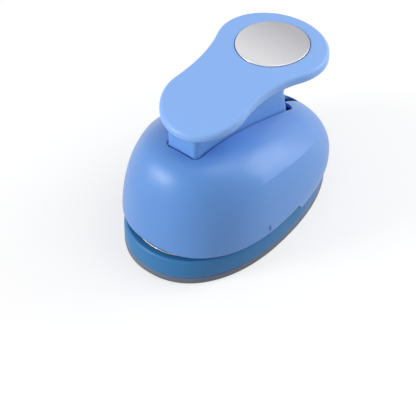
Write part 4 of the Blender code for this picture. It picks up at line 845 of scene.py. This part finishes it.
def make_disc():
    """The silver disc."""
    rows = [(DISC_RADIUS * share, POCKET_DEPTH - DISC_CLEARANCE) for share in (0.02, 0.5, 1.0)]
    rows += [(DISC_RADIUS - inwards, down - DISC_PROUD)
             for inwards, down in quarter_round(DISC_ROLL, (0, 20, 40, 60, 75, 90))]
    rows += [(DISC_RADIUS * share, -DISC_PROUD) for share in (0.95, 0.85, 0.7, 0.5, 0.3, 0.15, 0.02)]
    directions = np.linspace(0, 2 * math.pi, 160, endpoint=False)
    mesh = skin_mesh([lever_band(oval(radius, directions), drop) for radius, drop in rows])
    finish_piece("silver_disc", mesh, "disc_silver", "lever", "label_disc")
    print("disc:", len(mesh.polygons), "faces")


make_disc()

# %% [markdown]
# ## Block under the lever
#
# A hollow block joins the lever plate to the mechanism and dips into the housing's slot. Its corners are
# round in plan and its top follows the arch. A thin web behind it carries the overhanging plate.

# %% Block: plan and lean
BLOCK_FRONT_Y, BLOCK_BACK_Y, BLOCK_CORNER, BLOCK_WALL = -0.0430, 0.0446, 0.0030, 0.0025
BLOCK_INNER_CORNER, BLOCK_BACK_LEAN, SIDE_STEP = 0.0008, 0.20, 0.002
BLOCK_LOW_FRONT, BLOCK_LOW_BACK, BLOCK_SLOPE_Y = 0.0520, 0.0435, -0.014
BLOCK_TOP_DROP = 0.0031
PIVOT = (-0.040, 0.058)
NOSE_RADIUS, PIN_HOLE, CHEEK_GAP = 0.0075, 0.0033, 0.0001
WEB_HALF_WIDTH, WEB_FOOT_LIFT, WEB_GAP = 0.0030, 0.0015, 0.0004
WEB_END_YS, WEB_END_DEPTH = (0.067, 0.066), 0.0030


def round_rectangle(half_width, front, back, corner, steps=12):
    """A rectangle with round corners, as plan points that run once round."""
    near = half_width - corner
    places = ((near, back - corner), (-near, back - corner), (-near, front + corner), (near, front + corner))
    parts = [arc_points(place, corner, 90 * i, 90 * i + 90, steps) for i, place in enumerate(places)]
    sides = []
    for part, following in zip(parts, parts[1:] + parts[:1]):
        gap = following[0] - part[-1]
        count = max(2, int(np.hypot(*gap) / SIDE_STEP))
        sides += [part, part[-1] + np.linspace(0, 1, count + 1)[1:-1, None] * gap]
    return np.vstack(sides)


def block_low(y):
    """Height of the block's open lower edge."""
    share = np.clip((y - BLOCK_SLOPE_Y) / (BLOCK_BACK_Y - BLOCK_SLOPE_Y), 0, 1)
    return between(BLOCK_LOW_FRONT, BLOCK_LOW_BACK, share)


def block_back(z):
    """Place of the rear face, which leans forwards from its lower edge."""
    return BLOCK_BACK_Y - BLOCK_BACK_LEAN * (z - BLOCK_LOW_BACK)


def leaning(plan, drop, share):
    """A ring of the block's wall at a share of its height, drawn forwards as the rear face leans."""
    upright = plan[:, 1]
    height = between(block_low(upright), lever_top(upright) - drop, share)
    squeeze = (block_back(height) - BLOCK_FRONT_Y) / (BLOCK_BACK_Y - BLOCK_FRONT_Y)
    y = BLOCK_FRONT_Y + (upright - BLOCK_FRONT_Y) * squeeze
    return np.column_stack([plan[:, 0], y, between(block_low(y), lever_top(y) - drop, share)])


def closing(plan, drop, shares):
    """Rings that close the block's top, drawn together under the arch."""
    ring = leaning(plan, drop, 1.0)[:, :2]
    return [lever_band(between(ring.mean(axis=0), ring, share), drop) for share in shares]


# %% Block: walls, web and cheeks
def web_rings():
    """The web behind the block."""
    foot, drop = BLOCK_LOW_BACK + WEB_FOOT_LIFT, LEVER_RIM + WEB_GAP
    end, low_end = WEB_END_YS
    inside = block_back(LEVER_TOP - drop) - BLOCK_WALL / 2
    outline = [(block_back(foot) - BLOCK_WALL / 2, foot)]
    outline += [(y, lever_top(y) - drop) for y in np.linspace(inside, end, 12)]
    outline.append((low_end, lever_top(end) - drop - WEB_END_DEPTH))
    return [[(x, y, z) for y, z in outline] for x in (-WEB_HALF_WIDTH, WEB_HALF_WIDTH)]


def make_block():
    """The hollow block with its web and the two round cheeks that hold the pivot."""
    outer = round_rectangle(BLOCK_HALF_WIDTH, BLOCK_FRONT_Y, BLOCK_BACK_Y, BLOCK_CORNER)
    inner = round_rectangle(BLOCK_HALF_WIDTH - BLOCK_WALL, BLOCK_FRONT_Y + BLOCK_WALL,
                            BLOCK_BACK_Y - BLOCK_WALL, BLOCK_INNER_CORNER)
    ceiling = BLOCK_TOP_DROP + BLOCK_WALL
    walls = closing(inner, ceiling, (0.02, 0.5)) + [leaning(inner, ceiling, share) for share in (1.0, 0.5, 0.0)]
    walls += [leaning(outer, BLOCK_TOP_DROP, share) for share in np.linspace(0, 1, 16)]
    walls += closing(outer, BLOCK_TOP_DROP, (0.9, 0.5, 0.02))
    cheeks = []
    for side in (-1, 1):
        ends = side * (BLOCK_HALF_WIDTH - BLOCK_WALL), side * (BLOCK_HALF_WIDTH - CHEEK_GAP)
        rings = lathe_rings(tube_outline(NOSE_RADIUS, PIN_HOLE, *ends), PIVOT, 48, True)
        cheeks.append(rings + rings[:1])
    mesh = skin_mesh(walls, web_rings(), *cheeks)
    finish_piece("lever_stem", mesh, "block_blue_plastic", "lever", "lever_block")
    print("block:", len(mesh.polygons), "faces")


make_block()

# %% [markdown]
# ## Base and foot
#
# Below the throat lies the darker blue base, a skirt with a thick table on top. Under it is the flat grey
# foot. Both have the egg-shaped outline of the housing, a little narrower at the sides. A low lip on the
# table, hidden in the housing, keeps light from shining through the joint at the back.

# %% Carving helpers
CLEAR = 0.002
BASE_SHARP, STEEL_SHARP, WIRE_SHARP = 32.0, 30.0, 60.0
ROUND_TURNS = np.linspace(0, 2 * math.pi, 256, endpoint=False)
BASE_SIZES = (0.0455, 0.0680, 0.0775, 2.20, 2.24)
OUTLINE_POINTS, CORNER_SNAP, EVERYWHERE = 720, 0.0004, 1.0


def carve(piece, skins, operation="DIFFERENCE"):
    """Cuts skins out of a piece, or joins them to it, with one Boolean."""
    mesh = skin_mesh(*skins)
    mend(mesh)
    cutter = add_object("carving", mesh)
    step = piece.modifiers.new("carving", "BOOLEAN")
    step.operation, step.solver, step.object = operation, "EXACT", cutter
    bpy.context.view_layer.update()
    graph = bpy.context.evaluated_depsgraph_get()
    result = bpy.data.meshes.new_from_object(piece.evaluated_get(graph))
    piece.modifiers.clear()
    piece.data = result
    bpy.data.objects.remove(cutter)


def even_shading(piece, degrees):
    """Smooth shading that keeps large flat faces flat."""
    smooth(piece.data, degrees)
    piece.modifiers.new("even_normals", "WEIGHTED_NORMAL").keep_sharp = True


def turned_bodies(places, profile, points=96):
    """The same turned body at several places."""
    return [lathe_rings(profile, place, points) for place in places]


def rods(places, radius, low, high, points=96):
    """Upright round bars at several places."""
    return turned_bodies(places, ((radius, low), (radius, high)), points)


def flat_body(plan, low, high):
    """A flat plate from a plan outline."""
    return [with_height(plan, z) for z in (low, high)]


def shelf_outline(inset, back, front=-EVERYWHERE, sizes=BASE_SIZES):
    """A plan outline cut straight across at the back, and at the front where that is given."""
    plan = egg_point(np.linspace(0, 2 * math.pi, OUTLINE_POINTS, endpoint=False), inset, sizes)
    plan = plan[(plan[:, 1] < back) & (plan[:, 1] > front)]
    plan[plan[:, 1] > back - CORNER_SNAP, 1] = back
    plan[plan[:, 1] < front + CORNER_SNAP, 1] = front
    return plan


# %% Base and foot
BASE_BOTTOM, TABLE_TOP, COVER_TOP, DISH_FLOOR = 0.0048, 0.0180, 0.0045, 0.0022
BASE_PROFILE = ((0.0004, 0.0048), (0.0, 0.0052), (0.0, 0.0085), (0.0, 0.0120), (0.00015, 0.0142),
                (0.0004, 0.0162), (0.0007, 0.0170), (0.0011, 0.0176), (0.0016, 0.01790), (0.0021, 0.0180))
COVER_PROFILE = ((0.0012, 0.0), (0.0005, 0.0002), (0.0001, 0.0007), (0.0, 0.0013), (0.0, 0.0042),
                 (0.0003, COVER_TOP), (0.0026, COVER_TOP), (0.0026, DISH_FLOOR))
DIE_Y, CHUTE_RADIUS, CHUTE_WALL = -0.020, 0.0270, 0.0025
DIE_CENTRE = ((0.0, DIE_Y),)
BASE_WALL, TABLE_UNDERSIDE, POST_TOP = 0.0028, 0.0132, 0.0142
LIP_OUTER, LIP_INNER, LIP_FRONT, LIP_TOP = 0.0030, 0.0046, 0.0520, 0.0214
LIP_ROOT, LIP_ROOM_FRONT, TABLE_FILM = 0.0010, 0.0470, 0.00002
RECESS_INSET, RECESS_BACK, RECESS_FLOOR, ABOVE_TABLE = 0.0050, 0.0343, 0.0157, 0.0200
SCREW_PLACES = on_both_sides((0.028, -0.046), (0.0305, 0.0436))
RIVET_PLACES = on_both_sides((0.031, 0.020), (0.016, 0.027))
SCREW_HOLE, SCREW_POST, FRONT_HOLE_TOP, HOLE_FOOT = 0.0019, 0.0045, 0.0123, 0.0028
RIVET_ROOM, RIVET_ROOM_FLOOR = 0.0043, 0.0141
FOOT_POST, FOOT_POST_FOOT, FOOT_POST_SHORT, FOOT_HOLE_TOP = 0.0055, 0.0012, 0.0001, 0.0065
SINK_PROFILE = ((0.0036, -CLEAR), (0.0036, 0.0024), (SCREW_HOLE, 0.0024), (SCREW_HOLE, FOOT_HOLE_TOP))


def shell_of_base(name, profile, finish, node):
    """An outline of (inset, height) carried round the base's plan."""
    rings = [with_height(egg_point(ROUND_TURNS, inset, BASE_SIZES), height) for inset, height in profile]
    return finish_piece(name, skin_mesh(rings), finish, "housing", node)


def chute_and_posts(radius, low, high):
    """The solid round the chute and round each screw."""
    return rods(DIE_CENTRE, CHUTE_RADIUS + CHUTE_WALL, low, high) + rods(SCREW_PLACES, radius, low, high)


def make_base():
    """The blue base with its table, lip, recess, chute and screw posts."""
    base = shell_of_base("base_body", BASE_PROFILE, "base_blue_plastic", "base_shell")
    hollow = egg_point(ROUND_TURNS, BASE_WALL, BASE_SIZES)
    lip = shelf_outline(LIP_OUTER, EVERYWHERE, LIP_FRONT)
    lip_room = shelf_outline(LIP_INNER, EVERYWHERE, LIP_ROOM_FRONT)
    carve(base, [flat_body(hollow, BASE_BOTTOM - CLEAR, TABLE_UNDERSIDE)])
    carve(base, chute_and_posts(SCREW_POST, BASE_BOTTOM, POST_TOP), "UNION")
    carve(base, [flat_body(lip, TABLE_TOP - LIP_ROOT, LIP_TOP)], "UNION")
    carve(base, [flat_body(lip_room, TABLE_TOP + TABLE_FILM, LIP_TOP + CLEAR)])
    carve(base, [flat_body(shelf_outline(RECESS_INSET, RECESS_BACK), RECESS_FLOOR, ABOVE_TABLE)])
    carve(base, rods(DIE_CENTRE, CHUTE_RADIUS, HOLE_FOOT, ABOVE_TABLE))
    carve(base, rods(SCREW_PLACES[:2], SCREW_HOLE, HOLE_FOOT, FRONT_HOLE_TOP, 32)
          + rods(SCREW_PLACES[2:], SCREW_HOLE, HOLE_FOOT, ABOVE_TABLE, 32)
          + rods(RIVET_PLACES, RIVET_ROOM, RIVET_ROOM_FLOOR, TABLE_TOP, 32))
    even_shading(base, BASE_SHARP)
    print("base:", len(base.data.polygons), "faces")


def make_foot():
    """The grey foot: a shallow dish with the chute's opening and four sunk screw holes."""
    foot = shell_of_base("foot_plate", COVER_PROFILE, "foot_grey_plastic", "bottom_cover")
    carve(foot, chute_and_posts(FOOT_POST, FOOT_POST_FOOT, COVER_TOP - FOOT_POST_SHORT), "UNION")
    carve(foot, rods(DIE_CENTRE, CHUTE_RADIUS, -CLEAR, FOOT_HOLE_TOP))
    carve(foot, turned_bodies(SCREW_PLACES, SINK_PROFILE, 40))
    even_shading(foot, BASE_SHARP)
    print("foot:", len(foot.data.polygons), "faces")


make_base()
make_foot()

# %% [markdown]
# ## Steel plates of the cutting set
#
# Three flat plates make the throat: the die below the paper, a spacer behind it and a guide above it. On
# the real tool they are stamped from sheet. Each one is an outline with softened edges, and its holes are
# carved, because a flat sheet shades well even where a Boolean leaves long faces.

# %% Steel plates
PLATES_BACK_Y, SPACER_FRONT_Y, PLATE_EDGE, PLATE_REACH = 0.034, 0.010, 0.00015, 0.04
DIE_BOTTOM, SPACER_LEVELS, GUIDE_BOTTOM, GUIDE_TOP = 0.0160, (0.0183, 0.0205), 0.0208, 0.0228
DIE_INSET, SPACER_INSET, GUIDE_INSET = 0.0053, 0.0062, 0.0045
DIE_RADIUS, RIVET_HOLE = 0.0254, 0.0025
NOSE_PLACES, BRACKET_PLACES = on_both_sides((0.0355, -0.0360)), on_both_sides((0.0160, -0.0532))
COUNTERSINK = ((0.0034, GUIDE_BOTTOM - CLEAR), (0.0034, 0.0221), (SCREW_HOLE, 0.0221),
               (SCREW_HOLE, GUIDE_TOP + CLEAR))


def stamped_plate(name, node, finish, outline, low, high, with_die=True):
    """A sheet of steel with broken edges and holes for the rivets and mostly for the cutter."""
    smaller = between(outline.mean(axis=0), outline, 1 - PLATE_EDGE / PLATE_REACH)
    rings = [with_height(plan, z) for plan, z in (
        (smaller, low), (outline, low + PLATE_EDGE), (outline, high - PLATE_EDGE), (smaller, high))]
    plate = finish_piece(name, skin_mesh(rings), finish, "housing", node)
    holes = rods(DIE_CENTRE, DIE_RADIUS, low - CLEAR, high + CLEAR) if with_die else []
    carve(plate, holes + rods(RIVET_PLACES, RIVET_HOLE, low - CLEAR, high + CLEAR))
    even_shading(plate, STEEL_SHARP)
    return plate


stamped_plate("die", "die_plate", "bright_steel", shelf_outline(DIE_INSET, PLATES_BACK_Y), DIE_BOTTOM, TABLE_TOP)
stamped_plate("spacer", "slot_spacer", "dark_steel", shelf_outline(SPACER_INSET, PLATES_BACK_Y, SPACER_FRONT_Y),
              *SPACER_LEVELS, with_die=False)
guide = stamped_plate("guide", "guide_plate", "bright_steel",
                      shelf_outline(GUIDE_INSET, PLATES_BACK_Y, sizes=SHELL_SIZES), GUIDE_BOTTOM, GUIDE_TOP)
carve(guide, turned_bodies(NOSE_PLACES + BRACKET_PLACES, COUNTERSINK, 40))
print("plates: die, spacer and guide,", len(guide.data.polygons), "faces in the guide")

# %% [markdown]
# ## Turned parts
#
# Cutter, collar, posts, rivets, screws, pin and roller all come off a lathe or a header. Each one is a
# half outline turned round an axis. A short curve on every corner gives the edge a highlight, as a real
# broken edge has. A bevel modifier could do that too, but here the corner is part of the outline.

# %% Lathe helpers
LONGEST_CORNER = 0.45


def soft_corners(profile, radius, closed=False):
    """Rounds the corners of a (radius, height) outline with short curves."""
    corners = np.array(profile, float)
    result = []
    for i, corner in enumerate(corners):
        if not closed and i in (0, len(corners) - 1):
            result.append(corner)
            continue
        before, after = corners[i - 1] - corner, corners[(i + 1) % len(corners)] - corner
        reach = min(radius, LONGEST_CORNER * np.hypot(*before), LONGEST_CORNER * np.hypot(*after))
        start = corner + before / np.hypot(*before) * reach
        end = corner + after / np.hypot(*after) * reach
        for t in (0.0, 0.25, 0.5, 0.75, 1.0):
            result.append((1 - t) ** 2 * start + 2 * t * (1 - t) * corner + t ** 2 * end)
    return result


def turned(name, node, finish, body, profile, place, lies_across=False, closed=False, edge=0.0002, points=72):
    """One lathe part on its own upright axis, or on an axis that runs across."""
    rings = lathe_rings(soft_corners(profile, edge, closed), place, points, lies_across)
    return finish_piece(name, skin_mesh(rings + rings[:1] if closed else rings), finish, body, node,
                        STEEL_SHARP)


# %% Cutter, collar, posts and rivets
CUTTER_RADIUS, CUTTER_BORE, AXIS_GAP = 0.0251, 0.0225, 0.001
POST_PLACES = on_both_sides((0.0255, -0.0405), (0.0255, 0.0005))
CUP_OUTLINE = ((AXIS_GAP, 0.0270), (CUTTER_BORE, 0.0270), (CUTTER_BORE, 0.0217), (0.0228, 0.0212),
               (CUTTER_RADIUS, 0.0212), (CUTTER_RADIUS, 0.0310), (AXIS_GAP, 0.0310))
POST_OUTLINE = ((0.0044, 0.0231), (0.0044, 0.0243), (0.0022, 0.0243), (0.0022, 0.0434), (0.0016, 0.0440))
RIVET_OUTLINE = ((0.0008, 0.0144), (0.0026, 0.0145), (0.0036, 0.0149), (0.0040, 0.0154), (0.0040, 0.0157),
                 (0.0022, 0.0157), (0.0022, 0.0231), (0.0040, 0.0231), (0.0040, 0.0234), (0.0036, 0.0239),
                 (0.0026, 0.0243), (0.0008, 0.0244))

turned("cutter_cup", "cutter", "bright_steel", "punch", CUP_OUTLINE, (0.0, DIE_Y), edge=0.00015, points=128)
turned("collar", "guide_ring", "cast_alloy", "housing", tube_outline(0.0279, DIE_RADIUS, 0.0231, 0.0280),
       (0.0, DIE_Y), closed=True, edge=0.0005, points=128)
for kind, node, places, outline, points in (("post", "guide_post", POST_PLACES, POST_OUTLINE, 72),
                                            ("rivet", "frame_rivet", RIVET_PLACES, RIVET_OUTLINE, 48)):
    for number, place in enumerate(places, 1):
        turned(f"{kind}_{number}", f"{node}_{number}", "bright_steel", "housing", outline, place, edge=0.0003,
               points=points)
print("turned: cutter, collar, four posts and four rivets")

# %% Screws: outlines
SHANK = 0.0016
LEVER_SCREW_SEAT, LEVER_SCREW_COVER = 0.0011, 0.0013
CUTTER_SCREW_OUTLINE = ((0.0012, 0.0280), (SHANK, 0.0284), (SHANK, 0.0413), (0.0033, 0.0413),
                        (0.0033, 0.0422), (0.0027, 0.0428), (0.0018, 0.0429))
CROSS_LENGTH, SMALL_CROSS_LENGTH, CROSS_WIDTH = 0.0013, 0.0011, 0.0003


def pan_outline(tip):
    """A screw from below, with its domed head down."""
    return ((0.0018, 0.0005), (0.0028, 0.0007), (0.0033, 0.0012), (0.0033, 0.0021), (SHANK, 0.0021),
            (SHANK, tip - 0.0010), (0.0006, tip))


def flat_outline(tip):
    """A screw with a thin flat head that lies flush."""
    return (0.0031, 0.0209), (0.0028, 0.0218), (SHANK, 0.0218), (SHANK, tip - 0.0004), (0.0012, tip)


def lever_screw_outline(y):
    """A screw driven upwards into the lever plate."""
    head = lever_top(y) - LEVER_SKIN - BLOCK_WALL - LEVER_SCREW_SEAT
    tip = lever_top(y) - LEVER_SCREW_COVER
    return ((0.0018, head - 0.0016), (0.0027, head - 0.0010), (0.0027, head), (0.0014, head),
            (0.0014, tip - 0.0004), (0.0010, tip))


def add_screw(name, node, body, outline, place, recess, cross=CROSS_LENGTH, edge=0.0002):
    """A turned screw with a cross pressed into its head, between two heights."""
    screw = turned(name, node, "dark_steel", body, outline, place, edge=edge, points=48)
    x, y = place
    for half_x, half_y in ((cross, CROSS_WIDTH), (CROSS_WIDTH, cross)):
        carve(screw, [box_rings((x - half_x, x + half_x), (y - half_y, y + half_y), recess)])
    smooth(screw.data, STEEL_SHARP)


# %% Screws
PAN_RECESS, FLUSH_RECESS, CUTTER_RECESS = (0.0003, 0.0014), (0.0206, 0.0214), (0.0420, 0.0431)
LEVER_RECESS = (-0.0002, 0.0008)
HOUSING_SCREWS = (
    ("pan", "base_screw", SCREW_PLACES[:2], pan_outline(0.0120), PAN_RECESS, 0.0002),
    ("pan", "shell_screw", SCREW_PLACES[2:], pan_outline(0.0240), PAN_RECESS, 0.0002),
    ("flush", "shell_nose_screw", NOSE_PLACES, flat_outline(0.0275), FLUSH_RECESS, 0.0001),
    ("flush", "bracket_screw", BRACKET_PLACES, flat_outline(0.0258), FLUSH_RECESS, 0.0001),
)
LEVER_SCREW_YS = (-0.030, -0.006, 0.013)
CUTTER_SCREW_CIRCLE, CUTTER_SCREW_DEGREES = 0.0150, (90, 210, 330)

for kind, family, places, outline, recess, edge in HOUSING_SCREWS:
    for number, place in enumerate(places, 1):
        add_screw(f"{kind}_{family}_{number}", f"{family}_{number}", "housing", outline, place, recess, edge=edge)
for number, y in enumerate(LEVER_SCREW_YS, 1):
    outline = lever_screw_outline(y)
    recess = [outline[0][1] + step for step in LEVER_RECESS]
    add_screw(f"plate_screw_{number}", f"lever_screw_{number}", "lever", outline, (0.0, y), recess,
              SMALL_CROSS_LENGTH)
for number, degrees in enumerate(CUTTER_SCREW_DEGREES, 1):
    turn = math.radians(degrees)
    place = CUTTER_SCREW_CIRCLE * math.cos(turn), DIE_Y + CUTTER_SCREW_CIRCLE * math.sin(turn)
    add_screw(f"cup_screw_{number}", f"cutter_screw_{number}", "punch", CUTTER_SCREW_OUTLINE, place, CUTTER_RECESS)
print("screws: 14, each with a cross recess")

# %% Pivot pin, clips, washers, roller and axle
ROLLER, ROLLER_HALF = (DIE_Y, 0.0608), 0.0065
PIN_END, PIN_CHAMFER = 0.0166, 0.0006
EAR_OUTER_X, EAR_INNER_X, SIDE_PLAY, CLIP_THICKNESS = 0.0147, 0.0119, 0.0003, 0.0009
CLIP_NEAR = EAR_OUTER_X + SIDE_PLAY
PIN_OUTLINE = ((0.0024, -PIN_END), (0.0030, PIN_CHAMFER - PIN_END), (0.0030, PIN_END - PIN_CHAMFER),
               (0.0024, PIN_END))
AXLE_OUTLINE = ((0.0014, -0.0104), (0.0017, -0.0101), (0.0017, 0.0101), (0.0014, 0.0104))
ROLLER_OUTLINE = tube_outline(0.0050, 0.0020, -ROLLER_HALF, ROLLER_HALF)
FLAT_RINGS = (("clip", "dark_steel", 0.0052, CLIP_NEAR, CLIP_NEAR + CLIP_THICKNESS),
              ("washer", "white_slide_plastic", 0.0055, BLOCK_HALF_WIDTH + SIDE_PLAY, EAR_INNER_X - SIDE_PLAY))

turned("hinge_pin", "pivot_pin", "bright_steel", "housing", PIN_OUTLINE, PIVOT, True)
for side, name in ((-1, "left"), (1, "right")):
    for kind, finish, outer, near, far in FLAT_RINGS:
        turned(f"{kind}_{name}", f"pivot_{kind}_{name}", finish, "housing",
               tube_outline(outer, PIN_HOLE, side * near, side * far), PIVOT, True, True, 0.00015, 64)
turned("roller", "press_roller", "bright_steel", "roller", ROLLER_OUTLINE, ROLLER, True, True, 0.0006)
turned("roller_pin", "roller_axle", "bright_steel", "lever", AXLE_OUTLINE, ROLLER, True, points=48)
print("pivot: pin, two clips, two washers, roller and its pin")

# %% [markdown]
# ## Springs
#
# Four coil springs lift the punch again. Wire wound into a coil is one round section swept along a screw
# line. When the lever goes down the coils close up.

# %% Springs
SPRING_RADIUS, WIRE_RADIUS, SPRING_TURNS = 0.0036, 0.00045, 5
SPRING_FOOT, SPRING_HEAD, SLIDE_TRAVEL = 0.02505, 0.03725, 0.0053
STEPS_A_TURN, WIRE_SIDES = 36, 12


def make_spring(number, x, y):
    """One coil of wire round a post."""
    height = SPRING_HEAD - SPRING_FOOT
    rise = height / (2 * math.pi * SPRING_TURNS)
    sides = np.linspace(0, 2 * math.pi, WIRE_SIDES, endpoint=False)[:, None]
    rings = []
    for turn in np.linspace(0, 2 * math.pi * SPRING_TURNS, SPRING_TURNS * STEPS_A_TURN + 1):
        outward = np.array([math.cos(turn), math.sin(turn), 0.0])
        along = np.array([-math.sin(turn), math.cos(turn), rise / SPRING_RADIUS])
        up = np.cross(along / np.linalg.norm(along), outward)
        middle = np.array([x, y, SPRING_FOOT + rise * turn]) + SPRING_RADIUS * outward
        rings.append(middle + WIRE_RADIUS * (np.cos(sides) * outward + np.sin(sides) * up))
    coil = finish_piece(f"coil_{number}", skin_mesh(rings), "bright_steel", "housing",
                        f"return_spring_{number}", WIRE_SHARP)
    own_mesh(coil)


for number, (x, y) in enumerate(POST_PLACES, 1):
    make_spring(number, x, y)
print("springs: 4 coils of", SPRING_TURNS, "turns")

# %% [markdown]
# ## Parts that keep their solids
#
# The plunger, its wear pad and the cast bracket already have the right shape, so the solids stay, with
# their own finish and a small bevel that gives their edges a highlight.

# %% Kept solids
NODE_FINISH = {"pivot_bracket": "cast_alloy", "plunger": "white_slide_plastic", "wear_pad": "bright_steel"}
BEVEL_WIDTH, BEVEL_DEGREES = 0.0003, 50

for name, finish in NODE_FINISH.items():
    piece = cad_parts[name]
    piece.data.materials.clear()
    piece.data.materials.append(FINISHES[finish])
    bevel = piece.modifiers.new("fine_bevel", "BEVEL")
    bevel.width, bevel.segments = BEVEL_WIDTH, 2
    bevel.limit_method, bevel.angle_limit = "ANGLE", math.radians(BEVEL_DEGREES)
print("kept:", ", ".join(NODE_FINISH))
